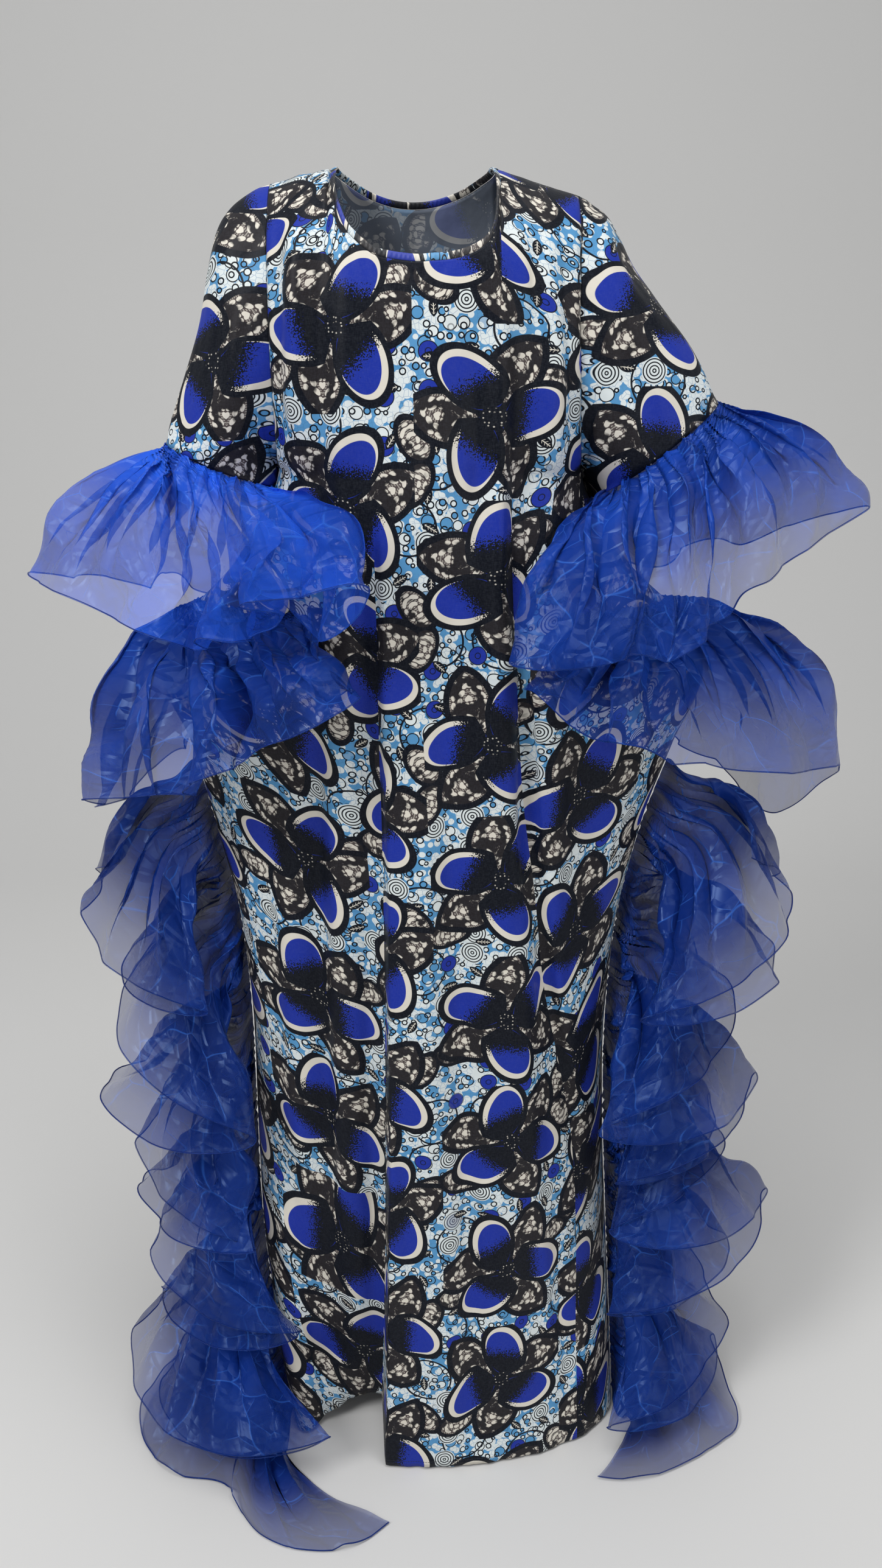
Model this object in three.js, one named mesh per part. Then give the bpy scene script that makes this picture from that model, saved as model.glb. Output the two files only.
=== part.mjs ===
// Ruffled kaftan gown of printed cotton and organza, in the hollow form that it
// keeps when it is worn. Millimetres, +Z up, the front faces -Y, the viewer's
// right is +X. The origin is the middle of the shoulder line, where the gown is
// held up. Every piece is a thin closed wall over a grid of points.
import * as THREE from 'three';

// ---------------------------------------------------------------- sizes
const COTTON_WALL = 2;
const ORGANZA_WALL = 1.2;
const BINDING_WALL = 2.2;
const SEAM_GAP = 0.3;
const BINDING_WIDTH = 6.5;
const UNDERARM_EASE = 1.6;  // more room beside the panels at the foot of the armhole
const FLOOR = -1454;
const YOKE_Z = -145;        // the level where the yoke has turned down into the chest
const UNDERARM_Z = -280;
const ARM_FRONT = 65;       // how far the armhole reaches to the front and to the back
const ARM_BACK = 60;

const COTTON = { color: 0x5c7fb5, roughness: 0.55, metalness: 0, side: THREE.DoubleSide };
const BINDING = { color: 0x2a2c33, roughness: 0.6, metalness: 0, side: THREE.DoubleSide };
const ORGANZA = { color: 0x1f3fb4, roughness: 0.4, metalness: 0, side: THREE.DoubleSide };

// Cross-sections of the gown from the yoke to the floor. left and right are the
// distances of the side seams from the middle, seamLeftY and seamRightY their
// depths, front and back the depths of the panels, and point is 1 for a round
// section and more for one that tapers to the seams.
const SECTIONS = [
  { z: -145, left: 136, right: 160, seamLeftY: 0, seamRightY: 0, front: 105, back: 88, point: 1.0 },
  { z: -280, left: 140, right: 172, seamLeftY: 0, seamRightY: 0, front: 116, back: 92, point: 1.0 },
  { z: -330, left: 161, right: 193, seamLeftY: 0, seamRightY: 0, front: 119, back: 94, point: 1.1 },
  { z: -385, left: 196, right: 232, seamLeftY: 0, seamRightY: 0, front: 121, back: 96, point: 1.3 },
  { z: -440, left: 250, right: 290, seamLeftY: 0, seamRightY: 0, front: 124, back: 99, point: 1.5 },
  { z: -500, left: 280, right: 316, seamLeftY: 0, seamRightY: 0, front: 127, back: 102, point: 1.5 },
  { z: -580, left: 252, right: 288, seamLeftY: 0, seamRightY: 0, front: 130, back: 106, point: 1.4 },
  { z: -680, left: 228, right: 256, seamLeftY: 0, seamRightY: 0, front: 135, back: 112, point: 1.2 },
  { z: -790, left: 207, right: 234, seamLeftY: 0, seamRightY: 0, front: 140, back: 118, point: 1.0 },
  { z: -910, left: 200, right: 226, seamLeftY: 0, seamRightY: 0, front: 145, back: 124, point: 1.0 },
  { z: -1040, left: 199, right: 228, seamLeftY: -8, seamRightY: 0, front: 153, back: 130, point: 1.0 },
  { z: -1180, left: 194, right: 236, seamLeftY: -40, seamRightY: -6, front: 162, back: 136, point: 1.0 },
  { z: -1320, left: 178, right: 244, seamLeftY: -76, seamRightY: -28, front: 172, back: 142, point: 0.95 },
  { z: -1450, left: 158, right: 250, seamLeftY: -98, seamRightY: -62, front: 182, back: 148, point: 0.9 },
];

// The two long folds that the front hangs in. centre is the sharp overlap a
// little left of the middle: the cloth on its left lies step deeper. right is
// the groove on the right of the chest, sunk by groove.
const FRONT_FOLDS = [
  { z: -145, centre: -37, step: 0, right: 96, groove: 2 },
  { z: -330, centre: -34, step: 2, right: 98, groove: 9 },
  { z: -440, centre: -32, step: 9, right: 102, groove: 12 },
  { z: -580, centre: -31, step: 14, right: 116, groove: 13 },
  { z: -790, centre: -29, step: 20, right: 140, groove: 13 },
  { z: -910, centre: -30, step: 24, right: 160, groove: 12 },
  { z: -1040, centre: -32, step: 30, right: 182, groove: 9 },
  { z: -1180, centre: -35, step: 42, right: 192, groove: 5 },
  { z: -1320, centre: -39, step: 58, right: 196, groove: 2 },
  { z: -1450, centre: -43, step: 74, right: 198, groove: 0 },
];

// Softer folds, as troughs that run down the cloth. x is where a trough lies at
// the chest and at the hem, top and end the heights between which it shows.
const FRONT_TROUGHS = [
  { chestX: -96, hemX: -112, top: -230, end: -1380, depth: 9, width: 26 },
  { chestX: 26, hemX: 74, top: -330, end: -1440, depth: 8, width: 24 },
  { chestX: 132, hemX: 226, top: -250, end: -900, depth: 10, width: 22 },
  { chestX: -130, hemX: -175, top: -300, end: -1150, depth: 8, width: 20 },
];
const BACK_TROUGHS = [
  { chestX: -104, hemX: -118, top: -230, end: -1450, depth: 14, width: 22 },
  { chestX: -52, hemX: -58, top: -330, end: -1450, depth: 12, width: 20 },
  { chestX: 8, hemX: 14, top: -250, end: -1450, depth: 16, width: 22 },
  { chestX: 66, hemX: 92, top: -320, end: -1450, depth: 12, width: 22 },
  { chestX: 122, hemX: 174, top: -230, end: -1450, depth: 14, width: 24 },
];

// The shoulder line, from the neck out to the armhole, on each side.
const SHOULDER_LEFT = { neckX: -80, neckZ: -3, tipX: -136, tipZ: -16 };
const SHOULDER_RIGHT = { neckX: 83, neckZ: -4, tipX: 160, tipZ: -26 };

// The cut edge of the neck, from the left shoulder line round to the right one.
const FRONT_NECK = [
  { x: -80, y: 0, z: -3 },
  { x: -74, y: -50, z: -22 },
  { x: -69, y: -70, z: -42 },
  { x: -60, y: -84, z: -63 },
  { x: -50, y: -89, z: -74 },
  { x: -41, y: -92, z: -81 },
  { x: -33, y: -94, z: -86 },
  { x: -20, y: -95, z: -89 },
  { x: -6, y: -96, z: -91 },
  { x: 8, y: -97, z: -92 },
  { x: 22, y: -97, z: -91 },
  { x: 36, y: -96, z: -90 },
  { x: 50, y: -95, z: -87 },
  { x: 64, y: -92, z: -81 },
  { x: 74, y: -88, z: -72 },
  { x: 79, y: -81, z: -58 },
  { x: 81, y: -66, z: -36 },
  { x: 82, y: -42, z: -15 },
  { x: 83, y: 0, z: -4 },
];
const BACK_NECK = [
  { x: -80, y: 0, z: -3 },
  { x: -70, y: 28, z: -9 },
  { x: -46, y: 48, z: -22 },
  { x: -16, y: 57, z: -30 },
  { x: 16, y: 57, z: -30 },
  { x: 48, y: 48, z: -22 },
  { x: 73, y: 28, z: -10 },
  { x: 83, y: 0, z: -4 },
];

// Columns of each panel on the two sides of the neck, by their x at the yoke.
const FRONT_LEFT_X = [-136, -117, -98];
const FRONT_RIGHT_X = [96, 109, 126, 143, 160];
const BACK_LEFT_X = [-136, -117, -98];
const BACK_RIGHT_X = [102, 121, 141, 160];
const CREST_HALF = 4;       // half the width of the front's sharp overlap
const GROOVE_HALF = 13;

const YOKE_STEPS = 4;       // rows from the shoulder line down to the yoke level
const ARMHOLE_STEPS = 3;    // rows from there down to the underarm
const BODY_ROWS = [-330, -385, -440, -500, -580, -680, -790, -910, -1040, -1180, -1320, -1450];
const HEM_LIFT = 34;        // how far the hem rises left of the sharp overlap

// Each panel is one length of cloth in four bands, which meet without a seam.
// from and to are the rows of the panel's grid at a band's two ends.
const PANEL_BANDS = [
  { band: 'yoke', from: 0, to: 8 },
  { band: 'chest', from: 8, to: 13 },
  { band: 'skirt', from: 13, to: 16 },
  { band: 'hem', from: 16, to: 19 },
];

// Sleeves: each row is one loop round the arm, from the armhole to the cuff.
const SLEEVE_LEFT = [
  { outerX: -154, outerZ: -23, innerX: -147, innerZ: -282, front: 65.5, back: 60.5 },
  { outerX: -174, outerZ: -36, innerX: -149, innerZ: -284, front: 66, back: 61 },
  { outerX: -187, outerZ: -54, innerX: -151, innerZ: -287, front: 66, back: 61 },
  { outerX: -196, outerZ: -86, innerX: -152, innerZ: -290, front: 65, back: 60 },
  { outerX: -208, outerZ: -139, innerX: -152.5, innerZ: -293, front: 63, back: 58 },
  { outerX: -230, outerZ: -197, innerX: -153, innerZ: -296, front: 60, back: 56 },
  { outerX: -254, outerZ: -256, innerX: -153, innerZ: -299, front: 57, back: 54 },
];
const SLEEVE_RIGHT = [
  { outerX: 173, outerZ: -35, innerX: 180, innerZ: -282, front: 65.5, back: 60.5 },
  { outerX: 189, outerZ: -46, innerX: 183, innerZ: -286, front: 66, back: 61 },
  { outerX: 203, outerZ: -66, innerX: 185.5, innerZ: -291, front: 66, back: 61 },
  { outerX: 220, outerZ: -92, innerX: 187, innerZ: -296, front: 66, back: 61 },
  { outerX: 246, outerZ: -121, innerX: 188.5, innerZ: -301, front: 66, back: 60 },
  { outerX: 280, outerZ: -163, innerX: 190, innerZ: -306, front: 64, back: 58 },
  { outerX: 310, outerZ: -216, innerX: 192, innerZ: -311, front: 60, back: 56 },
];

// Upper tiers: the hem's folds in order, from the front end round the outside of
// the arm to the back end. puff is how far a fold stands out before it falls.
const CUFF_HEM_LEFT = [
  { x: -128, y: -158, z: -388, puff: 0.85 },
  { x: -84, y: -168, z: -427, puff: 0.86 },
  { x: -50, y: -176, z: -405, puff: 0.8 },
  { x: -51, y: -198, z: -373, puff: 0.9 },
  { x: -98, y: -216, z: -378, puff: 0.85 },
  { x: -146, y: -208, z: -388, puff: 0.8 },
  { x: -133, y: -178, z: -404, puff: 0.55 },
  { x: -143, y: -194, z: -413, puff: 0.6 },
  { x: -166, y: -204, z: -422, puff: 0.65 },
  { x: -188, y: -190, z: -424, puff: 0.6 },
  { x: -200, y: -152, z: -440, puff: 0.5 },
  { x: -240, y: -154, z: -432, puff: 0.6 },
  { x: -286, y: -130, z: -419, puff: 0.65 },
  { x: -330, y: -92, z: -408, puff: 0.7 },
  { x: -408, y: -22, z: -390, puff: 0.75 },
  { x: -376, y: 42, z: -400, puff: 0.7 },
  { x: -318, y: 84, z: -418, puff: 0.6 },
  { x: -286, y: 138, z: -412, puff: 0.65 },
  { x: -240, y: 122, z: -430, puff: 0.55 },
  { x: -206, y: 168, z: -420, puff: 0.65 },
  { x: -160, y: 152, z: -428, puff: 0.55 },
  { x: -118, y: 176, z: -408, puff: 0.6 },
  { x: -96, y: 150, z: -392, puff: 0.55 },
];
const CUFF_HEM_RIGHT = [
  { x: 150, y: -152, z: -432, puff: 0.7 },
  { x: 118, y: -164, z: -444, puff: 0.7 },
  { x: 101, y: -184, z: -450, puff: 0.8 },
  { x: 140, y: -210, z: -447, puff: 0.75 },
  { x: 187, y: -214, z: -440, puff: 0.65 },
  { x: 214, y: -194, z: -434, puff: 0.55 },
  { x: 240, y: -206, z: -437, puff: 0.6 },
  { x: 272, y: -190, z: -426, puff: 0.6 },
  { x: 282, y: -152, z: -420, puff: 0.5 },
  { x: 308, y: -142, z: -408, puff: 0.55 },
  { x: 332, y: -146, z: -380, puff: 0.65 },
  { x: 380, y: -102, z: -359, puff: 0.7 },
  { x: 426, y: -62, z: -340, puff: 0.75 },
  { x: 460, y: -16, z: -325, puff: 0.8 },
  { x: 432, y: 46, z: -338, puff: 0.75 },
  { x: 376, y: 84, z: -366, puff: 0.6 },
  { x: 344, y: 136, z: -378, puff: 0.65 },
  { x: 296, y: 124, z: -400, puff: 0.55 },
  { x: 256, y: 168, z: -404, puff: 0.65 },
  { x: 208, y: 152, z: -424, puff: 0.55 },
  { x: 166, y: 176, z: -420, puff: 0.6 },
  { x: 138, y: 152, z: -402, puff: 0.55 },
];

// Lower tiers, in the same order. They are sewn onto the panels all round the
// side of the gown, from frontX round the seam to backX, at the height z.
const LOWER_TOP_LEFT = { frontX: -104, backX: -112, z: -418, side: -1 };
const LOWER_TOP_RIGHT = { frontX: 142, backX: 150, z: -418, side: 1 };
const LOWER_HEM_LEFT = [
  { x: -104, y: -150, z: -500, puff: 0.68 },
  { x: -60, y: -164, z: -478, puff: 0.68 },
  { x: -50, y: -186, z: -480, puff: 0.68 },
  { x: -84, y: -206, z: -498, puff: 0.68 },
  { x: -122, y: -206, z: -516, puff: 0.68 },
  { x: -150, y: -186, z: -536, puff: 0.68 },
  { x: -182, y: -200, z: -551, puff: 0.68 },
  { x: -226, y: -190, z: -573, puff: 0.7 },
  { x: -256, y: -150, z: -590, puff: 0.7 },
  { x: -300, y: -140, z: -598, puff: 0.7 },
  { x: -340, y: -100, z: -616, puff: 0.8 },
  { x: -358, y: -46, z: -642, puff: 0.9 },
  { x: -344, y: 12, z: -652, puff: 0.9 },
  { x: -304, y: 56, z: -636, puff: 0.8 },
  { x: -290, y: 108, z: -606, puff: 0.7 },
  { x: -242, y: 128, z: -588, puff: 0.7 },
  { x: -206, y: 172, z: -572, puff: 0.7 },
  { x: -156, y: 150, z: -560, puff: 0.68 },
  { x: -112, y: 164, z: -540, puff: 0.68 },
];
const LOWER_HEM_RIGHT = [
  { x: 150, y: -148, z: -492, puff: 0.68 },
  { x: 114, y: -168, z: -476, puff: 0.68 },
  { x: 136, y: -192, z: -488, puff: 0.68 },
  { x: 164, y: -194, z: -508, puff: 0.68 },
  { x: 184, y: -180, z: -525, puff: 0.68 },
  { x: 220, y: -192, z: -528, puff: 0.68 },
  { x: 258, y: -176, z: -548, puff: 0.7 },
  { x: 294, y: -136, z: -562, puff: 0.7 },
  { x: 346, y: -116, z: -577, puff: 0.75 },
  { x: 424, y: -82, z: -588, puff: 0.85 },
  { x: 474, y: -34, z: -597, puff: 0.9 },
  { x: 466, y: 4, z: -628, puff: 0.9 },
  { x: 418, y: 28, z: -676, puff: 0.85 },
  { x: 366, y: 66, z: -640, puff: 0.75 },
  { x: 326, y: 112, z: -610, puff: 0.65 },
  { x: 280, y: 128, z: -594, puff: 0.7 },
  { x: 246, y: 170, z: -576, puff: 0.7 },
  { x: 196, y: 150, z: -562, puff: 0.68 },
  { x: 152, y: 166, z: -540, puff: 0.68 },
];

// Side ruffles: a row for each fold, down the seam. seamZ is where the fold is
// sewn. turn is the way it points, in degrees from straight out to the side,
// less than 0 towards the front. reach is how far it stands out and drop how far
// its hem hangs below the seam.
const SIDE_FOLDS_LEFT = [
  { seamZ: -600, turn: -25, reach: 100, drop: 106 },
  { seamZ: -624, turn: 8, reach: 142, drop: 146 },
  { seamZ: -666, turn: -94, reach: 136, drop: 184 },
  { seamZ: -714, turn: 40, reach: 120, drop: 136 },
  { seamZ: -762, turn: -6, reach: 150, drop: 146 },
  { seamZ: -812, turn: -100, reach: 146, drop: 198 },
  { seamZ: -864, turn: 6, reach: 180, drop: 158 },
  { seamZ: -912, turn: 46, reach: 146, drop: 146 },
  { seamZ: -962, turn: -96, reach: 150, drop: 188 },
  { seamZ: -1012, turn: -2, reach: 146, drop: 150 },
  { seamZ: -1066, turn: 48, reach: 138, drop: 142 },
  { seamZ: -1114, turn: -112, reach: 140, drop: 162 },
  { seamZ: -1166, turn: -6, reach: 130, drop: 144 },
  { seamZ: -1224, turn: 12, reach: 180, drop: 152 },
  { seamZ: -1272, turn: -122, reach: 158, drop: 112 },
  { seamZ: -1322, turn: 22, reach: 150, drop: 94 },
  { seamZ: -1368, turn: -12, reach: 184, drop: 80 },
  { seamZ: -1396, turn: -38, reach: 162, drop: 55 },
  { seamZ: -1416, turn: -62, reach: 132, drop: 35 },
  { seamZ: -1430, turn: -86, reach: 180, drop: 21 },
  { seamZ: -1441, turn: -112, reach: 208, drop: 10 },
  { seamZ: -1448, turn: -129, reach: 204, drop: 4 },
];
const SIDE_FOLDS_RIGHT = [
  { seamZ: -600, turn: -25, reach: 102, drop: 104 },
  { seamZ: -622, turn: 6, reach: 156, drop: 140 },
  { seamZ: -662, turn: -96, reach: 150, drop: 190 },
  { seamZ: -710, turn: 10, reach: 176, drop: 126 },
  { seamZ: -752, turn: 46, reach: 138, drop: 110 },
  { seamZ: -796, turn: -102, reach: 152, drop: 194 },
  { seamZ: -846, turn: -6, reach: 182, drop: 156 },
  { seamZ: -888, turn: -88, reach: 140, drop: 182 },
  { seamZ: -930, turn: 14, reach: 150, drop: 138 },
  { seamZ: -968, turn: -92, reach: 152, drop: 156 },
  { seamZ: -1016, turn: -4, reach: 212, drop: 164 },
  { seamZ: -1060, turn: -92, reach: 150, drop: 188 },
  { seamZ: -1110, turn: 4, reach: 164, drop: 146 },
  { seamZ: -1156, turn: 46, reach: 140, drop: 140 },
  { seamZ: -1204, turn: -6, reach: 156, drop: 150 },
  { seamZ: -1252, turn: -94, reach: 150, drop: 156 },
  { seamZ: -1300, turn: 4, reach: 150, drop: 118 },
  { seamZ: -1340, turn: -14, reach: 160, drop: 106 },
  { seamZ: -1376, turn: -30, reach: 174, drop: 75 },
  { seamZ: -1406, turn: -48, reach: 152, drop: 45 },
  { seamZ: -1430, turn: -64, reach: 142, drop: 22 },
  { seamZ: -1448, turn: -104, reach: 140, drop: 4 },
];
const SEAM_TURN_SHARE = 0.5; // share of its turn that a fold already has at the seam
const SEAM_REACH_SHARE = 0.45; // share of its reach and of its drop that draws it out
const SEAM_DROP_SHARE = 0.35;  // of the seam
const TOP_LIFT = 70;         // length of seam, at its top, over which a fold stands out flat
const TOP_REACH_SHARE = 0.75; // share of its reach and of its drop that draws it out there
const TOP_DROP_SHARE = 0.12;

const TIER_EASE = 2.4;        // the gathered edge stands this far off the panels
const TIER_ROWS = 4;
const TIER_COLUMNS_PER_FOLD = 1.5;
const SIDE_ROWS = 4;
const SIDE_COLUMNS_PER_FOLD = 3;

// ---------------------------------------------------------------- tools
const vec = (x, y, z) => new THREE.Vector3(x, y, z);
const mix = (a, b, t) => a + (b - a) * t;
const clamp01 = (t) => Math.min(1, Math.max(0, t));
const smoothstep = (t) => clamp01(t) ** 2 * (3 - 2 * clamp01(t));
const mod = (a, n) => ((a % n) + n) % n;

// A smooth curve through a table's rows: the value of one column where another
// column has the given value. Tangents are those of a Catmull-Rom spline.
function along(table, by, column, at) {
  const n = table.length;
  const rising = table[n - 1][by] > table[0][by];
  let i = 0;
  while (i < n - 2 && (rising ? at > table[i + 1][by] : at < table[i + 1][by])) i += 1;
  const slope = (k) => {
    const a = table[Math.max(0, k - 1)];
    const b = table[Math.min(n - 1, k + 1)];
    return (b[column] - a[column]) / (b[by] - a[by]);
  };
  const p = table[i];
  const q = table[i + 1];
  const step = q[by] - p[by];
  const t = clamp01((at - p[by]) / step);
  const t2 = t * t;
  const t3 = t2 * t;
  return (2 * t3 - 3 * t2 + 1) * p[column] + (t3 - 2 * t2 + t) * step * slope(i)
    + (3 * t2 - 2 * t3) * q[column] + (t3 - t2) * step * slope(i + 1);
}

// The same for a table whose rows are evenly spaced, t running from 0 to 1.
function through(table, column, t) {
  const numbered = table.map((row, i) => ({ i, value: row[column] }));
  return along(numbered, 'i', 'value', t * (table.length - 1));
}

// Normals of a grid of points, one a point, each with the factor by which an
// offset along it has to grow to keep the wall's thickness in a fold.
function gridNormals(grid, closed) {
  const rows = grid.length;
  const columns = grid[0].length;
  const normals = grid.map((row) => row.map(() => ({ sum: vec(0, 0, 0), faces: [] })));
  const lastColumn = closed ? columns : columns - 1;
  for (let i = 0; i < rows - 1; i += 1) {
    for (let j = 0; j < lastColumn; j += 1) {
      const k = (j + 1) % columns;
      const down = grid[i + 1][k].clone().sub(grid[i][j]);
      const across = grid[i][k].clone().sub(grid[i + 1][j]);
      const face = across.cross(down).normalize();
      for (const [a, b] of [[i, j], [i, k], [i + 1, j], [i + 1, k]]) {
        normals[a][b].sum.add(face);
        normals[a][b].faces.push(face);
      }
    }
  }
  return normals.map((row) => row.map(({ sum, faces }) => {
    const n = sum.normalize();
    const lean = faces.reduce((total, f) => total + n.dot(f), 0) / faces.length;
    return n.multiplyScalar(1 / Math.max(lean, 0.45));
  }));
}

function moved(grid, normals, distance) {
  return grid.map((row, i) => row.map((p, j) => p.clone().addScaledVector(normals[i][j], distance)));
}

// One closed wall between two grids of the same size.
function wall(name, inner, outer, finish, closed = false) {
  const rows = inner.length;
  const columns = inner[0].length;
  const positions = [];
  for (const grid of [inner, outer]) {
    for (const row of grid) for (const p of row) positions.push(p.x, p.y, p.z);
  }
  const at = (layer, i, j) => layer * rows * columns + i * columns + mod(j, columns);
  const index = [];
  const quad = (a, b, c, d) => index.push(a, b, c, a, c, d);
  const lastColumn = closed ? columns : columns - 1;
  for (let i = 0; i < rows - 1; i += 1) {
    for (let j = 0; j < lastColumn; j += 1) {
      quad(at(0, i, j), at(0, i + 1, j), at(0, i + 1, j + 1), at(0, i, j + 1));
      quad(at(1, i, j), at(1, i, j + 1), at(1, i + 1, j + 1), at(1, i + 1, j));
    }
  }
  for (let j = 0; j < lastColumn; j += 1) {
    quad(at(0, 0, j), at(0, 0, j + 1), at(1, 0, j + 1), at(1, 0, j));
    quad(at(0, rows - 1, j + 1), at(0, rows - 1, j), at(1, rows - 1, j), at(1, rows - 1, j + 1));
  }
  if (!closed) {
    for (let i = 0; i < rows - 1; i += 1) {
      quad(at(0, i + 1, 0), at(0, i, 0), at(1, i, 0), at(1, i + 1, 0));
      quad(at(0, i, columns - 1), at(0, i + 1, columns - 1), at(1, i + 1, columns - 1), at(1, i, columns - 1));
    }
  }
  const geometry = new THREE.BufferGeometry();
  geometry.setAttribute('position', new THREE.Float32BufferAttribute(positions, 3));
  if (enclosedVolume(positions, index) < 0) {
    for (let k = 0; k < index.length; k += 3) [index[k], index[k + 1]] = [index[k + 1], index[k]];
  }
  geometry.setIndex(index);
  geometry.computeVertexNormals();
  const mesh = new THREE.Mesh(geometry, new THREE.MeshStandardMaterial(finish));
  mesh.name = name;
  return mesh;
}

function enclosedVolume(positions, index) {
  const corner = (k) => vec(...positions.slice(3 * index[k], 3 * index[k] + 3));
  let volume = 0;
  for (let k = 0; k < index.length; k += 3) {
    volume += corner(k).dot(corner(k + 1).cross(corner(k + 2))) / 6;
  }
  return volume;
}

// ---------------------------------------------------------------- the gown's form
const section = (z, column) => along(SECTIONS, 'z', column, Math.min(z, YOKE_Z));
const frontFold = (z, column) => along(FRONT_FOLDS, 'z', column, Math.min(z, YOKE_Z));

// How far the armhole's edge stands from the shoulder's plane at a height.
function armholeDepth(z, depth) {
  if (z <= UNDERARM_Z) return 0;
  return depth * Math.sqrt(Math.max(0, 1 - ((z - YOKE_Z) / (UNDERARM_Z - YOKE_Z)) ** 2));
}

function troughs(table, x, z) {
  let sunk = 0;
  for (const fold of table) {
    if (z > fold.top || z < fold.end) continue;
    const centre = mix(fold.chestX, fold.hemX, (fold.top - z) / (fold.top - fold.end));
    const fade = smoothstep((fold.top - z) / 120) * smoothstep((z - fold.end) / 60 + 0.4);
    sunk += fold.depth * fade * Math.exp(-(((x - centre) / fold.width) ** 2));
  }
  return sunk;
}

// The front panel's depth, as y, where it is x from the middle at the height z.
function frontY(x, z) {
  const half = x < 0 ? section(z, 'left') : section(z, 'right');
  const seamY = section(z, x < 0 ? 'seamLeftY' : 'seamRightY');
  const edge = seamY - armholeDepth(z, ARM_FRONT);
  const across = Math.min(1, Math.abs(x) / half);
  const full = (1 - across ** 2) ** (section(z, 'point') / 2);
  const centre = frontFold(z, 'centre');
  const leftOf = clamp01((centre + CREST_HALF - x) / (2 * CREST_HALF));
  const fadeLeft = x < centre ? 1 - ((centre - x) / (half + centre)) ** 2 : 1;
  const step = frontFold(z, 'step') * leftOf * Math.max(0, fadeLeft);
  const groove = frontFold(z, 'groove') * Math.exp(-(((x - frontFold(z, 'right')) / (GROOVE_HALF * 0.8)) ** 2));
  const keep = Math.min(1, 4 * (1 - across));
  const sunk = (step + groove + troughs(FRONT_TROUGHS, x, z)) * keep;
  return edge + (-section(z, 'front') - edge) * full + sunk - SEAM_GAP / 2;
}

function backY(x, z) {
  const half = x < 0 ? section(z, 'left') : section(z, 'right');
  const seamY = section(z, x < 0 ? 'seamLeftY' : 'seamRightY');
  const edge = seamY + armholeDepth(z, ARM_BACK);
  const across = Math.min(1, Math.abs(x) / half);
  const full = (1 - across ** 2) ** (section(z, 'point') / 2);
  const keep = Math.min(1, 4 * (1 - across));
  return edge + (section(z, 'back') - edge) * full - troughs(BACK_TROUGHS, x, z) * keep + SEAM_GAP / 2;
}

function shoulderZ(x) {
  const line = x < 0 ? SHOULDER_LEFT : SHOULDER_RIGHT;
  return mix(line.neckZ, line.tipZ, (x - line.neckX) / (line.tipX - line.neckX));
}

const topEdge = (leftX, neck, rightX) => [
  ...leftX.map((x) => ({ x, y: 0, z: shoulderZ(x) })),
  ...neck,
  ...rightX.map((x) => ({ x, y: 0, z: shoulderZ(x) })),
];

// Carries a column's place at the yoke down to the height z: columns keep their
// share of the stretch between the seams and the folds on either side of them.
function carried(yokeX, z, knots) {
  const at = knots(YOKE_Z);
  const to = knots(z);
  let k = 0;
  while (k < at.length - 2 && yokeX > at[k + 1]) k += 1;
  return mix(to[k], to[k + 1], (yokeX - at[k]) / (at[k + 1] - at[k]));
}

function frontKnots(z) {
  const centre = frontFold(z, 'centre');
  const right = frontFold(z, 'right');
  const [left, half] = [-section(z, 'left'), section(z, 'right')];
  return [left, centre - CREST_HALF, centre + CREST_HALF, right - GROOVE_HALF, right, right + GROOVE_HALF, half];
}

const backKnots = (z) => [-section(z, 'left'), 0, section(z, 'right')];

function armholeRows() {
  const rows = [];
  for (let k = 1; k <= ARMHOLE_STEPS; k += 1) {
    rows.push(mix(YOKE_Z, UNDERARM_Z, Math.sin((k / ARMHOLE_STEPS) * Math.PI / 2)));
  }
  return rows;
}

// A panel's grid: rounded columns from the shoulder line or the neck's edge down
// to the yoke level, then one row for each level down to the hem.
function panelGrid(edge, knots, depthAt, hemAt) {
  const yokeY = edge.map((top) => depthAt(top.x, YOKE_Z));
  const grid = [];
  for (let k = 0; k < YOKE_STEPS; k += 1) {
    grid.push(edge.map((top, j) => {
      const fromY = top.y === 0 ? Math.sign(yokeY[j]) * SEAM_GAP / 2 : top.y;
      const start = Math.asin(fromY / yokeY[j]);
      const turn = mix(start, Math.PI / 2, k / YOKE_STEPS);
      const rise = (top.z - YOKE_Z) / Math.cos(start);
      return vec(top.x, yokeY[j] * Math.sin(turn), YOKE_Z + rise * Math.cos(turn));
    }));
  }
  for (const z of [YOKE_Z, ...armholeRows(), ...BODY_ROWS]) {
    grid.push(edge.map((top) => {
      const x = carried(top.x, z, knots);
      return vec(x, depthAt(x, z), hemAt(x, z));
    }));
  }
  return grid;
}

// The front hem rises to the left of the sharp overlap.
function frontHemZ(x, z) {
  const lowest = smoothstep((-1180 - z) / 270);
  const left = smoothstep((frontFold(z, 'centre') + CREST_HALF - x) / (2 * CREST_HALF));
  return z + HEM_LIFT * lowest * left * (1 - smoothstep((-60 - x) / 90));
}

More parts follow.
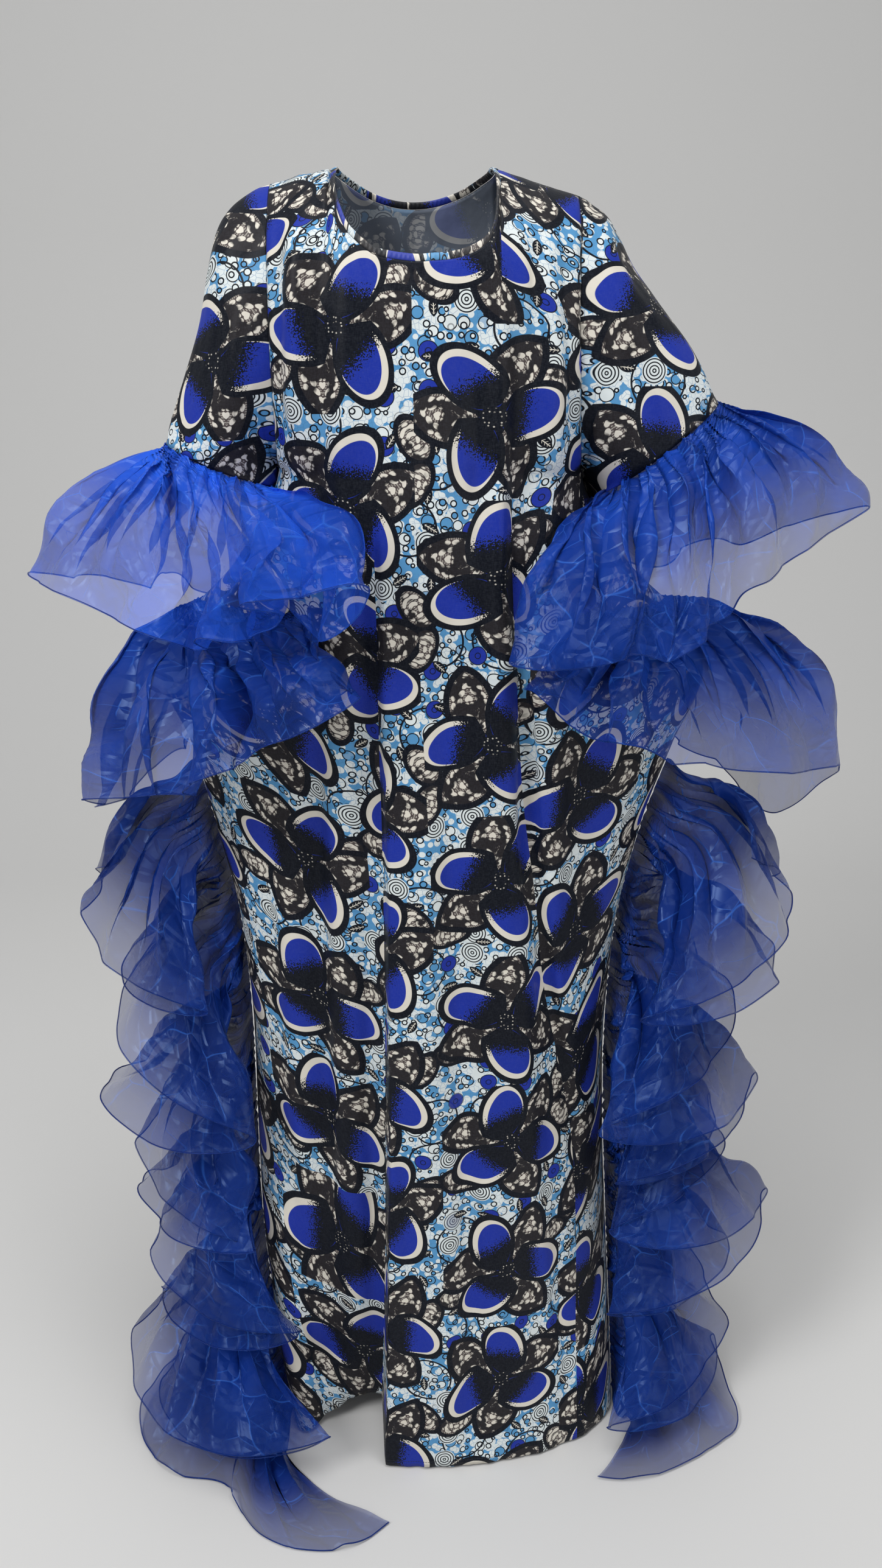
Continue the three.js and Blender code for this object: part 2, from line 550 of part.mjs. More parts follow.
const frontEdge = topEdge(FRONT_LEFT_X, FRONT_NECK, FRONT_RIGHT_X);
const backEdge = topEdge(BACK_LEFT_X, BACK_NECK, BACK_RIGHT_X);
const frontGrid = panelGrid(frontEdge, frontKnots, frontY, frontHemZ);
const backGrid = panelGrid(backEdge, backKnots, backY, (x, z) => z);
const outwards = (grid, closed = false) => {
  const normals = gridNormals(grid, closed);
  const centre = grid.flat().reduce((sum, p) => sum.add(p), vec(0, 0, 0)).divideScalar(grid.flat().length);
  const side = grid.flat().reduce((sum, p, k) => {
    const n = normals[Math.floor(k / grid[0].length)][k % grid[0].length];
    return sum + n.dot(p.clone().sub(closed ? centre : vec(0, 0, p.z)));
  }, 0);
  return side < 0 ? normals.map((row) => row.map((n) => n.negate())) : normals;
};
const frontNormals = outwards(frontGrid);
const backNormals = outwards(backGrid);

// A panel's own row at a height, between two rows of its grid.
function rowAt(grid, z) {
  let i = YOKE_STEPS;
  while (i < grid.length - 2 && z < grid[i + 1][0].z) i += 1;
  const t = (grid[i][0].z - z) / (grid[i][0].z - grid[i + 1][0].z);
  return grid[i].map((p, j) => p.clone().lerp(grid[i + 1][j], t));
}

function seamPoint(z, side) {
  const row = rowAt(frontGrid, z);
  return side < 0 ? row[0] : row[row.length - 1];
}

// ---------------------------------------------------------------- neck binding
// A loop that carries on from the panels' own neck edge, with their normals.
function neckBinding() {
  const edge = [];
  const frontFrom = FRONT_LEFT_X.length;
  FRONT_NECK.forEach((_, k) => edge.push({ p: frontGrid[0][frontFrom + k], n: frontNormals[0][frontFrom + k] }));
  const backFrom = BACK_LEFT_X.length;
  const shared = [[0, backFrom], [FRONT_NECK.length - 1, backFrom + BACK_NECK.length - 1]];
  for (const [k, backColumn] of shared) {
    edge[k] = { p: edge[k].p, n: edge[k].n.clone().lerp(backNormals[0][backColumn], 0.5) };
  }
  for (let k = BACK_NECK.length - 2; k > 0; k -= 1) {
    edge.push({ p: backGrid[0][backFrom + k], n: backNormals[0][backFrom + k] });
  }
  const rows = [SEAM_GAP, SEAM_GAP + BINDING_WIDTH].map((reach) => edge.map(({ p }) => {
    const inward = vec(2 - p.x, -12 - p.y, 0).normalize();
    const upright = mix(0.35, 0.95, clamp01(Math.abs(p.y) / 60));
    const away = inward.multiplyScalar(Math.sqrt(1 - upright ** 2)).add(vec(0, 0, upright));
    return p.clone().addScaledVector(away, reach);
  }));
  const outer = rows.map((row) => row.map((p, j) => p.clone().addScaledVector(edge[j].n, BINDING_WALL)));
  return wall('neck_binding', rows, outer, BINDING, true);
}

// ---------------------------------------------------------------- sleeves
// The armhole's own loop: down the front panel's edge, up the back panel's.
function armholeLoop(column) {
  const last = YOKE_STEPS + ARMHOLE_STEPS;
  const points = [];
  for (let k = 0; k <= last; k += 1) points.push({ grid: frontGrid, normals: frontNormals, k });
  for (let k = last - 1; k > 0; k -= 1) points.push({ grid: backGrid, normals: backNormals, k });
  return points.map(({ grid, normals, k }) => {
    const j = column(grid);
    const side = Math.sign(grid[k][j].x);
    const away = SEAM_GAP + COTTON_WALL * Math.abs(normals[k][j].x) + UNDERARM_EASE * (k / last);
    return grid[k][j].clone().add(vec(side * away, 0, 0));
  });
}

function sleeveGrid(loops, column) {
  const first = armholeLoop(column);
  const n = first.length;
  return [first, ...loops.map((loop) => first.map((_, k) => {
    const steps = Math.min(k, n - k);
    const turn = steps <= YOKE_STEPS
      ? (steps / YOKE_STEPS) * 90
      : 90 + ((steps - YOKE_STEPS) / ARMHOLE_STEPS) * 90;
    const angle = THREE.MathUtils.degToRad(turn);
    const share = (1 + Math.cos(angle)) / 2;
    const depth = k <= n / 2 ? -loop.front : loop.back;
    return vec(
      mix(loop.innerX, loop.outerX, share),
      depth * Math.sin(angle),
      mix(loop.innerZ, loop.outerZ, share),
    );
  }))];
}

const firstColumn = () => 0;
const lastColumn = (grid) => grid[0].length - 1;
const sleeveLeft = sleeveGrid(SLEEVE_LEFT, firstColumn);
const sleeveRight = sleeveGrid(SLEEVE_RIGHT, lastColumn);

// ---------------------------------------------------------------- ruffles
// Each strip is a row of curves from the gathered edge to the hem.
function ruffleGrid(columns, rows, topAt, hemAt, leadAt) {
  const grid = [];
  for (let i = 0; i <= rows; i += 1) {
    const r = i / rows;
    const row = [];
    for (let j = 0; j < columns; j += 1) {
      const t = j / (columns - 1);
      const [top, hem] = [topAt(t), hemAt(t)];
      const lead = leadAt(t, top, hem);
      const p = top.multiplyScalar((1 - r) ** 2)
        .addScaledVector(lead, 2 * r * (1 - r))
        .addScaledVector(hem, r ** 2);
      p.z = Math.max(p.z, FLOOR + ORGANZA_WALL);
      row.push(p);
    }
    grid.push(row);
  }
  return grid;
}

function ruffle(name, grid) {
  const normals = gridNormals(grid, false);
  return wall(name, moved(grid, normals, -ORGANZA_WALL / 2), moved(grid, normals, ORGANZA_WALL / 2), ORGANZA);
}

const hemPoint = (table) => (t) => vec(through(table, 'x', t), through(table, 'y', t), through(table, 'z', t));

function puffed(table) {
  return (t, top, hem) => {
    const puff = through(table, 'puff', t);
    return vec(mix(top.x, hem.x, puff), mix(top.y, hem.y, puff), mix(top.z, hem.z, 1 - puff));
  };
}

// The gathered edge of an upper tier: along the cuff, from its inner end round the
// front and the outside to the back.
function cuffTop(sleeve) {
  const [before, cuff] = [sleeve[sleeve.length - 2], sleeve[sleeve.length - 1]];
  const normals = outwards(sleeve, true);
  const n = cuff.length;
  const half = n / 2;
  const clear = SEAM_GAP + ORGANZA_WALL;
  const order = [];
  for (let k = half; k > -half; k -= 1) order.push(mod(k, n));
  const points = order.map((k) => {
    const away = cuff[k].clone().sub(before[k]).normalize();
    return cuff[k].clone().addScaledVector(away, clear).addScaledVector(normals[normals.length - 1][k], COTTON_WALL / 2);
  });
  return hemPoint(points);
}

function cuffRuffle(name, sleeve, hem) {
  const columns = Math.round((hem.length - 1) * TIER_COLUMNS_PER_FOLD) + 1;
  return ruffle(name, ruffleGrid(columns, TIER_ROWS, cuffTop(sleeve), hemPoint(hem), puffed(hem)));
}

// The gathered edge of a lower tier: on the outside of the panels.
function lowerTop({ frontX, backX, z, side }) {
  const clear = COTTON_WALL + ORGANZA_WALL + TIER_EASE;
  const seam = seamPoint(z, side);
  const onPanel = (grid, x) => {
    const [row, below] = [rowAt(grid, z), rowAt(grid, z - 10)];
    let j = 0;
    while (j < row.length - 2 && x > row[j + 1].x) j += 1;
    const share = (x - row[j].x) / (row[j + 1].x - row[j].x);
    const p = row[j].clone().lerp(row[j + 1], share);
    const down = below[j].clone().lerp(below[j + 1], share).sub(p);
    const n = down.cross(row[j + 1].clone().sub(row[j])).normalize();
    return p.addScaledVector(n, grid === frontGrid ? clear : -clear);
  };
  const shares = [0, 0.25, 0.5, 0.75, 0.93];
  const front = shares.map((share) => onPanel(frontGrid, mix(frontX, seam.x, share)));
  const back = shares.map((share) => onPanel(backGrid, mix(backX, seam.x, share)));
  return hemPoint([...front, vec(seam.x + side * clear * 1.3, 0, z), ...back.reverse()]);
}

function lowerRuffle(name, top, hem) {
  const columns = Math.round((hem.length - 1) * TIER_COLUMNS_PER_FOLD) + 1;
  return ruffle(name, ruffleGrid(columns, TIER_ROWS, lowerTop(top), hemPoint(hem), puffed(hem)));
}

function sideRuffle(name, folds, side) {
  const clear = COTTON_WALL + SEAM_GAP + ORGANZA_WALL / 2;
  const seamAt = (t) => {
    const z = through(folds, 'seamZ', t);
    return seamPoint(z, side).add(vec(side * clear, SEAM_GAP / 2, 0));
  };
  const outAt = (t, share, from, reachShare, dropShare) => {
    const turn = THREE.MathUtils.degToRad(through(folds, 'turn', t) * share);
    const reach = through(folds, 'reach', t) * reachShare;
    const drop = through(folds, 'drop', t) * dropShare;
    return from.clone().add(vec(side * Math.cos(turn) * reach, Math.sin(turn) * reach, -drop));
  };
  const hemAt = (t) => outAt(t, 1, seamAt(t), 1, 1);
  const leadAt = (t, top) => {
    const down = folds[0].seamZ - through(folds, 'seamZ', t);
    const below = THREE.MathUtils.smoothstep(down, 0, TOP_LIFT);
    const reachShare = mix(TOP_REACH_SHARE, SEAM_REACH_SHARE, below);
    const dropShare = mix(TOP_DROP_SHARE, SEAM_DROP_SHARE, below);
    return outAt(t, SEAM_TURN_SHARE, top, reachShare, dropShare);
  };
  const columns = (folds.length - 1) * SIDE_COLUMNS_PER_FOLD + 1;
  return ruffle(name, ruffleGrid(columns, SIDE_ROWS, seamAt, hemAt, leadAt));
}

// ---------------------------------------------------------------- the gown
const gown = new THREE.Group();

// The rows of one band, drawn in by half the gap where another band carries on.
function bandOf(rows, { from, to }) {
  const drawnIn = (end, next) => rows[end].map((p, j) => {
    const inwards = rows[next][j].clone().sub(p).normalize();
    return p.clone().addScaledVector(inwards, SEAM_GAP / 2);
  });
  const band = rows.slice(from, to + 1);
  if (from > 0) band[0] = drawnIn(from, from + 1);
  if (to < rows.length - 1) band[band.length - 1] = drawnIn(to, to - 1);
  return band;
}

function addPanel(name, grid, normals) {
  const outer = moved(grid, normals, COTTON_WALL);
  for (const band of PANEL_BANDS) {
    gown.add(wall(`${name}_${band.band}`, bandOf(grid, band), bandOf(outer, band), COTTON));
  }
}

function addSleeve(name, grid) {
  gown.add(wall(name, grid, moved(grid, outwards(grid, true), COTTON_WALL), COTTON, true));
}

addPanel('front_panel', frontGrid, frontNormals);
addPanel('back_panel', backGrid, backNormals);
gown.add(neckBinding());
addSleeve('sleeve_left', sleeveLeft);
addSleeve('sleeve_right', sleeveRight);
gown.add(cuffRuffle('cuff_ruffle_left', sleeveLeft, CUFF_HEM_LEFT));
gown.add(cuffRuffle('cuff_ruffle_right', sleeveRight, CUFF_HEM_RIGHT));
gown.add(lowerRuffle('lower_ruffle_left', LOWER_TOP_LEFT, LOWER_HEM_LEFT));
gown.add(lowerRuffle('lower_ruffle_right', LOWER_TOP_RIGHT, LOWER_HEM_RIGHT));
gown.add(sideRuffle('side_ruffle_left', SIDE_FOLDS_LEFT, -1));
gown.add(sideRuffle('side_ruffle_right', SIDE_FOLDS_RIGHT, 1));

export default gown;
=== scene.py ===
"""Looks of a ruffled kaftan gown of printed cotton and organza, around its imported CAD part.

The tables are in millimetres, as the gown's own sizes: +Z up, the front faces -Y and the
viewer's right is +X. The meshes, materials and lights are in metres.
"""
import math
from functools import partial

import bpy
import numpy as np
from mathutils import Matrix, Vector


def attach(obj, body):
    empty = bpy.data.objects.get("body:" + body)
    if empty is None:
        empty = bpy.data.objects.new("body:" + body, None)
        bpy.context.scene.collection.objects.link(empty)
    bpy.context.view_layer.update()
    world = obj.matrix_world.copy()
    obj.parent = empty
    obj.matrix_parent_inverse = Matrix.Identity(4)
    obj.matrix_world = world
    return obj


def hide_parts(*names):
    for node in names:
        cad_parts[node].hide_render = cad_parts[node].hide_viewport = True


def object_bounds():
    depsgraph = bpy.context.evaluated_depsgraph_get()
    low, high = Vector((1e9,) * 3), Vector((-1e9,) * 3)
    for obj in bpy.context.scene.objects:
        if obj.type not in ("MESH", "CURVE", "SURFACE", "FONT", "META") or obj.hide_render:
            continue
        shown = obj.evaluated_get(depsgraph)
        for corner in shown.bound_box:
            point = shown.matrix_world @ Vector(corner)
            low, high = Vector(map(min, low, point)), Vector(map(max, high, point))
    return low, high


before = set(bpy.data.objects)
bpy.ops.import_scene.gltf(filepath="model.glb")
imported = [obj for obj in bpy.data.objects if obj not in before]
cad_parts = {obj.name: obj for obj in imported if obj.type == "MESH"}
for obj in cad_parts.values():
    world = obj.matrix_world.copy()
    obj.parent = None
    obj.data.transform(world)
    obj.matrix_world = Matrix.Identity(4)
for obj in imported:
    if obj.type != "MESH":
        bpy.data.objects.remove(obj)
cad_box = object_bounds()

MM = 0.001
FLOOR = cad_box[0][2] / MM   # the height that the gown's longest ruffles lie on


def add_object(name, data):
    made = bpy.data.objects.new(name, data)
    bpy.context.scene.collection.objects.link(made)
    return made


# ---- camera
CAMERA_PLACE = (0.028, -1.280, -0.188)
CAMERA_PITCH = math.radians(19.09)
CAMERA_LENS = 27.25          # mm, on a sensor 36 mm high


def add_camera():
    data = bpy.data.cameras.new("camera")
    data.sensor_fit = "VERTICAL"
    data.sensor_height = 36
    data.lens = CAMERA_LENS
    camera = add_object("camera", data)
    camera.location = CAMERA_PLACE
    camera.rotation_euler = (math.pi / 2 - CAMERA_PITCH, 0, 0)
    bpy.context.scene.camera = camera


add_camera()

# ---- sizes
YOKE_Z = -145                # the level where the yoke has turned down into the chest
UNDERARM_Z = -280
HEM_Z = -1450
ARM_FRONT, ARM_BACK = 65, 60
CREST_HALF = 4               # half the width of the turn of the front's sharp overlap
GROOVE_HALF = 13
HEM_LIFT = 34                # the front hem's rise left of the overlap
HEM_LIFT_FROM = -1180        # the level from which the cloth rises
HEM_LIFT_SIDE = (-60, 90)    # where the rise starts to fade to the left, and over how much
WALL_MIDDLE = 1.0            # the cloth lies in the middle of the CAD wall
COTTON_THICK = 0.8

SECTION_COLUMNS = ("z", "left", "right", "left_y", "right_y", "front", "back", "point")
SECTIONS = [
    (-145, 136, 160, 0, 0, 105, 88, 1.0),
    (-280, 140, 172, 0, 0, 116, 92, 1.0),
    (-330, 161, 193, 0, 0, 119, 94, 1.1),
    (-385, 196, 232, 0, 0, 121, 96, 1.3),
    (-440, 250, 290, 0, 0, 124, 99, 1.5),
    (-500, 280, 316, 0, 0, 127, 102, 1.5),
    (-580, 252, 288, 0, 0, 130, 106, 1.4),
    (-680, 228, 256, 0, 0, 135, 112, 1.2),
    (-790, 207, 234, 0, 0, 140, 118, 1.0),
    (-910, 200, 226, 0, 0, 145, 124, 1.0),
    (-1040, 199, 228, -8, 0, 153, 130, 1.0),
    (-1180, 194, 236, -40, -6, 162, 136, 1.0),
    (-1320, 178, 244, -76, -28, 172, 142, 0.95),
    (-1450, 158, 250, -98, -62, 182, 148, 0.9),
]
# The front's sharp overlap (centre, sunk by step on its left) and the groove right of it.
FOLD_COLUMNS = ("z", "centre", "step", "right", "groove")
FRONT_FOLDS = [
    (-145, -37, 0, 96, 2),
    (-330, -34, 2, 98, 9),
    (-440, -32, 9, 102, 12),
    (-580, -31, 14, 116, 13),
    (-790, -29, 20, 140, 13),
    (-910, -30, 24, 160, 12),
    (-1040, -32, 30, 182, 9),
    (-1180, -35, 42, 192, 5),
    (-1320, -39, 58, 196, 2),
    (-1450, -43, 74, 198, 0),
]
# Soft troughs down the cloth: x at the chest and at the hem, top, end, depth, width.
TROUGH_START = 120           # length over which a trough sinks in at its top
TROUGH_END, TROUGH_LEFT = 60, 0.4   # and over which it ends, and its share left there
FRONT_TROUGHS = [
    (-96, -112, -230, -1380, 9, 26),
    (26, 74, -330, -1440, 8, 24),
    (132, 226, -250, -900, 10, 22),
    (-130, -175, -300, -1150, 8, 20),
]
BACK_TROUGHS = [
    (-104, -118, -230, -1450, 14, 22),
    (-52, -58, -330, -1450, 12, 20),
    (8, 14, -250, -1450, 16, 22),
    (66, 92, -320, -1450, 12, 22),
    (122, 174, -230, -1450, 14, 24),
]
SHOULDER_LEFT = ((-136, -16), (-80, -3))     # (x, z) at the armhole and at the neck
SHOULDER_RIGHT = ((83, -4), (160, -26))      # (x, z) at the neck and at the armhole
FRONT_NECK = [
    (-80, 0, -3), (-74, -50, -22), (-69, -70, -42), (-60, -84, -63), (-50, -89, -74),
    (-41, -92, -81), (-33, -94, -86), (-20, -95, -89), (-6, -96, -91), (8, -97, -92),
    (22, -97, -91), (36, -96, -90), (50, -95, -87), (64, -92, -81), (74, -88, -72),
    (79, -81, -58), (81, -66, -36), (82, -42, -15), (83, 0, -4),
]
BACK_NECK = [
    (-80, 0, -3), (-70, 28, -9), (-46, 48, -22), (-16, 57, -30),
    (16, 57, -30), (48, 48, -22), (73, 28, -10), (83, 0, -4),
]

# Sleeves: a row for each loop: outer x and z, inner x and z, reach to front and back.
SLEEVE_LEFT = [
    (-154, -23, -147, -282, 65.5, 60.5),
    (-174, -36, -149, -284, 66, 61),
    (-187, -54, -151, -287, 66, 61),
    (-196, -86, -152, -290, 65, 60),
    (-208, -139, -152.5, -293, 63, 58),
    (-230, -197, -153, -296, 60, 56),
    (-254, -256, -153, -299, 57, 54),
]
SLEEVE_RIGHT = [
    (173, -35, 180, -282, 65.5, 60.5),
    (189, -46, 183, -286, 66, 61),
    (203, -66, 185.5, -291, 66, 61),
    (220, -92, 187, -296, 66, 61),
    (246, -121, 188.5, -301, 66, 60),
    (280, -163, 190, -306, 64, 58),
    (310, -216, 192, -311, 60, 56),
]
# Ruffle hems: x, y, z and puff for each fold, front inner end, outside, back end.
CUFF_HEM_LEFT = [
    (-128, -158, -388, 0.85), (-84, -168, -427, 0.86), (-50, -176, -405, 0.8),
    (-51, -198, -373, 0.9), (-98, -216, -378, 0.85), (-146, -208, -388, 0.8),
    (-133, -178, -404, 0.55), (-143, -194, -413, 0.6), (-166, -204, -422, 0.65),
    (-188, -190, -424, 0.6), (-200, -152, -440, 0.5), (-240, -154, -432, 0.6),
    (-286, -130, -419, 0.65), (-330, -92, -408, 0.7), (-408, -22, -390, 0.75),
    (-376, 42, -400, 0.7), (-318, 84, -418, 0.6), (-286, 138, -412, 0.65),
    (-240, 122, -430, 0.55), (-206, 168, -420, 0.65), (-160, 152, -428, 0.55),
    (-118, 176, -408, 0.6), (-96, 150, -392, 0.55),
]
CUFF_HEM_RIGHT = [
    (150, -152, -432, 0.7), (118, -164, -444, 0.7), (101, -184, -450, 0.8),
    (140, -210, -447, 0.75), (187, -214, -440, 0.65), (214, -194, -434, 0.55),
    (240, -206, -437, 0.6), (272, -190, -426, 0.6), (282, -152, -420, 0.5),
    (308, -142, -408, 0.55), (332, -146, -380, 0.65), (380, -102, -359, 0.7),
    (426, -62, -340, 0.75), (460, -16, -325, 0.8), (432, 46, -338, 0.75),
    (376, 84, -366, 0.6), (344, 136, -378, 0.65), (296, 124, -400, 0.55),
    (256, 168, -404, 0.65), (208, 152, -424, 0.55), (166, 176, -420, 0.6),
    (138, 152, -402, 0.55),
]
LOWER_HEM_LEFT = [
    (-104, -150, -500, 0.68), (-60, -164, -478, 0.68), (-50, -186, -480, 0.68),
    (-84, -206, -498, 0.68), (-122, -206, -516, 0.68), (-150, -186, -536, 0.68),
    (-182, -200, -551, 0.68), (-226, -190, -573, 0.7), (-256, -150, -590, 0.7),
    (-300, -140, -598, 0.7), (-340, -100, -616, 0.8), (-358, -46, -642, 0.9),
    (-344, 12, -652, 0.9), (-304, 56, -636, 0.8), (-290, 108, -606, 0.7),
    (-242, 128, -588, 0.7), (-206, 172, -572, 0.7), (-156, 150, -560, 0.68),
    (-112, 164, -540, 0.68),
]
LOWER_HEM_RIGHT = [
    (150, -148, -492, 0.68), (114, -168, -476, 0.68), (136, -192, -488, 0.68),
    (164, -194, -508, 0.68), (184, -180, -525, 0.68), (220, -192, -528, 0.68),
    (258, -176, -548, 0.7), (294, -136, -562, 0.7), (346, -116, -577, 0.75),
    (424, -82, -588, 0.85), (474, -34, -597, 0.9), (466, 4, -628, 0.9),
    (418, 28, -676, 0.85), (366, 66, -640, 0.75), (326, 112, -610, 0.65),
    (280, 128, -594, 0.7), (246, 170, -576, 0.7), (196, 150, -562, 0.68),
    (152, 166, -540, 0.68),
]
LOWER_TOP_Z = -418
LOWER_TOP_LEFT = (-104, -112)      # the tier's two ends, as x on the front and the back
LOWER_TOP_RIGHT = (142, 150)

# Side ruffles, a row for each fold: height on the seam, turn in degrees, reach, drop.
SIDE_FOLDS_LEFT = [
    (-600, -25, 100, 106), (-624, 8, 142, 146), (-666, -94, 136, 184), (-714, 40, 120, 136),
    (-762, -6, 150, 146), (-812, -100, 146, 198), (-864, 6, 180, 158), (-912, 46, 146, 146),
    (-962, -96, 150, 188), (-1012, -2, 146, 150), (-1066, 48, 138, 142), (-1114, -112, 140, 162),
    (-1166, -6, 130, 144), (-1224, 12, 180, 152), (-1272, -122, 158, 112), (-1322, 22, 150, 94),
    (-1368, -12, 184, 80), (-1396, -38, 162, 55), (-1416, -62, 132, 35), (-1430, -86, 180, 21),
    (-1441, -112, 208, 10), (-1448, -129, 204, 4),
]
SIDE_FOLDS_RIGHT = [
    (-600, -25, 102, 104), (-622, 6, 156, 140), (-662, -96, 150, 190), (-710, 10, 176, 126),
    (-752, 46, 138, 110), (-796, -102, 152, 194), (-846, -6, 182, 156), (-888, -88, 140, 182),
    (-930, 14, 150, 138), (-968, -92, 152, 156), (-1016, -4, 212, 164), (-1060, -92, 150, 188),
    (-1110, 4, 164, 146), (-1156, 46, 140, 140), (-1204, -6, 156, 150), (-1252, -94, 150, 156),
    (-1300, 4, 150, 118), (-1340, -14, 160, 106), (-1376, -30, 174, 75), (-1406, -48, 152, 45),
    (-1430, -64, 142, 22), (-1448, -104, 140, 4),
]


# ---- curves and noise
def curve(xs, ys, at):
    """A smooth curve through points, with Catmull-Rom tangents, held level past its ends."""
    xs, ys = np.asarray(xs, float), np.asarray(ys, float)
    if xs[-1] < xs[0]:
        xs, ys = xs[::-1], ys[::-1]
    slope = np.gradient(ys) / np.gradient(xs)
    at = np.clip(at, xs[0], xs[-1])
    i = np.clip(np.searchsorted(xs, at) - 1, 0, len(xs) - 2)
    step = xs[i + 1] - xs[i]
    t = (at - xs[i]) / step
    return ((2 * t**3 - 3 * t**2 + 1) * ys[i] + (t**3 - 2 * t**2 + t) * step * slope[i]
            + (3 * t**2 - 2 * t**3) * ys[i + 1] + (t**3 - t**2) * step * slope[i + 1])


def table_curve(table, columns, column, z):
    rows = np.array(table, float)
    return curve(rows[:, 0], rows[:, columns.index(column)], np.minimum(z, YOKE_Z))


def section(z, column):
    return table_curve(SECTIONS, SECTION_COLUMNS, column, z)


def front_fold(z, column):
    return table_curve(FRONT_FOLDS, FOLD_COLUMNS, column, z)


def through(table, t):
    """Points through a table's rows, evenly spaced, for t from 0 to 1: one column each."""
    rows = np.array(table, float)
    place = np.arange(len(rows))
    at = np.asarray(t) * (len(rows) - 1)
    return np.stack([curve(place, column, at) for column in rows.T], -1)


def smoothstep(t):
    t = np.clip(t, 0, 1)
    return t * t * (3 - 2 * t)


NOISE_CELLS = 64             # of the noise, before it repeats


def noise(u, v, seed):
    """Smooth noise from -1 to 1 with one bump for each unit of u and of v."""
    draws = np.random.RandomState(seed).uniform(-1, 1, (NOISE_CELLS, NOISE_CELLS))
    u, v = np.broadcast_arrays(u, v)
    i, j = np.floor(u).astype(int), np.floor(v).astype(int)
    fu, fv = smoothstep(u - i), smoothstep(v - j)
    corner = lambda a, b: draws[(i + a) % NOISE_CELLS, (j + b) % NOISE_CELLS]
    low = corner(0, 0) * (1 - fu) + corner(1, 0) * fu
    high = corner(0, 1) * (1 - fu) + corner(1, 1) * fu
    return low * (1 - fv) + high * fv


def normals_of(grid, closed=False):
    """Unit normals of a grid of points; closed joins the last column to the first."""
    down = np.gradient(grid, axis=0)
    if closed:
        wide = np.concatenate([grid[:, -1:], grid, grid[:, :1]], 1)
        across = (wide[:, 2:] - wide[:, :-2]) / 2
    else:
        across = np.gradient(grid, axis=1)
    normal = np.cross(across, down)
    return normal / np.maximum(np.linalg.norm(normal, axis=2, keepdims=True), 1e-9)


def lengths(grid, axis):
    """Distance run along an axis of a grid, from 0 at its start."""
    steps = np.linalg.norm(np.diff(grid, axis=axis), axis=2)
    start = np.zeros_like(np.take(steps, [0], axis))
    return np.concatenate([start, np.cumsum(steps, axis)], axis)


# ---- meshes
def grid_mesh(name, grid, uv, second=None, closed=False, flipped=False, breaks=()):
    """A mesh over a grid of points in millimetres, with its places on the flat cloth as UVs
    in metres. The second UV map is for other numbers. On a closed grid the UVs have a last
    column of their own, and one more at each column in breaks, where the print starts anew."""
    rows, columns = grid.shape[:2]
    index = np.arange(rows * columns).reshape(rows, columns)
    if closed:
        index = np.concatenate([index, index[:, :1]], 1)
    first = np.arange(index.shape[1] - 1)
    first = first + sum((first >= seam) for seam in breaks)
    wide = uv.shape[1]
    places = np.arange(rows * wide).reshape(rows, wide)

    def corners(left, right):
        around = [left[:-1], left[1:], right[1:], right[:-1]]
        return np.stack(around[::-1] if flipped else around, -1).reshape(-1, 4)

    quads = corners(index[:, :-1], index[:, 1:])
    places = corners(places[:, first], places[:, first + 1]).reshape(-1)
    mesh = bpy.data.meshes.new(name)
    mesh.vertices.add(rows * columns)
    mesh.vertices.foreach_set("co", (grid * MM).reshape(-1))
    mesh.loops.add(quads.size)
    mesh.loops.foreach_set("vertex_index", quads.reshape(-1))
    mesh.polygons.add(len(quads))
    mesh.polygons.foreach_set("loop_start", np.arange(0, quads.size, 4))
    second = 0 * uv if second is None else second
    for layer_name, values in (("cloth", uv * MM), ("second", second)):
        layer = mesh.uv_layers.new(name=layer_name)
        layer.data.foreach_set("uv", values.reshape(-1, 2)[places].reshape(-1))
    mesh.update(calc_edges=True)
    mesh.validate()
    mesh.polygons.foreach_set("use_smooth", np.ones(len(mesh.polygons), bool))
    return add_object(name, mesh)


def thicken(piece, thick):
    """Gives a sheet a thickness about its middle, with the second material on its inside."""
    shell = piece.modifiers.new("thickness", "SOLIDIFY")
    shell.thickness = thick * MM
    shell.offset = 0
    shell.use_even_offset = False
    shell.material_offset = 1
    shell.material_offset_rim = 0


# ---- the gown's form
def armhole_depth(z, depth):
    share = (z - YOKE_Z) / (UNDERARM_Z - YOKE_Z)
    return depth * np.sqrt(np.clip(1 - share**2, 0, 1)) * (z > UNDERARM_Z)


def troughs(table, x, z):
    sunk = 0
    for chest_x, hem_x, top, end, depth, width in table:
        centre = chest_x + (hem_x - chest_x) * (top - z) / (top - end)
        fade = smoothstep((top - z) / TROUGH_START)
        fade = fade * smoothstep((z - end) / TROUGH_END + TROUGH_LEFT)
        inside = (z <= top) & (z >= end)
        sunk = sunk + inside * depth * fade * np.exp(-(((x - centre) / width) ** 2))
    return sunk


def rounded(x, z, side, arm):
    """The panel's seam depth and its rise from there to the middle, at x and z."""
    half = np.where(x < 0, section(z, "left"), section(z, "right"))
    seam = np.where(x < 0, section(z, "left_y"), section(z, "right_y"))
    edge = seam - side * armhole_depth(z, arm)
    across = np.minimum(1, np.abs(x) / half)
    full = (1 - across**2) ** (section(z, "point") / 2)
    return edge, full, np.minimum(1, 4 * (1 - across)), half


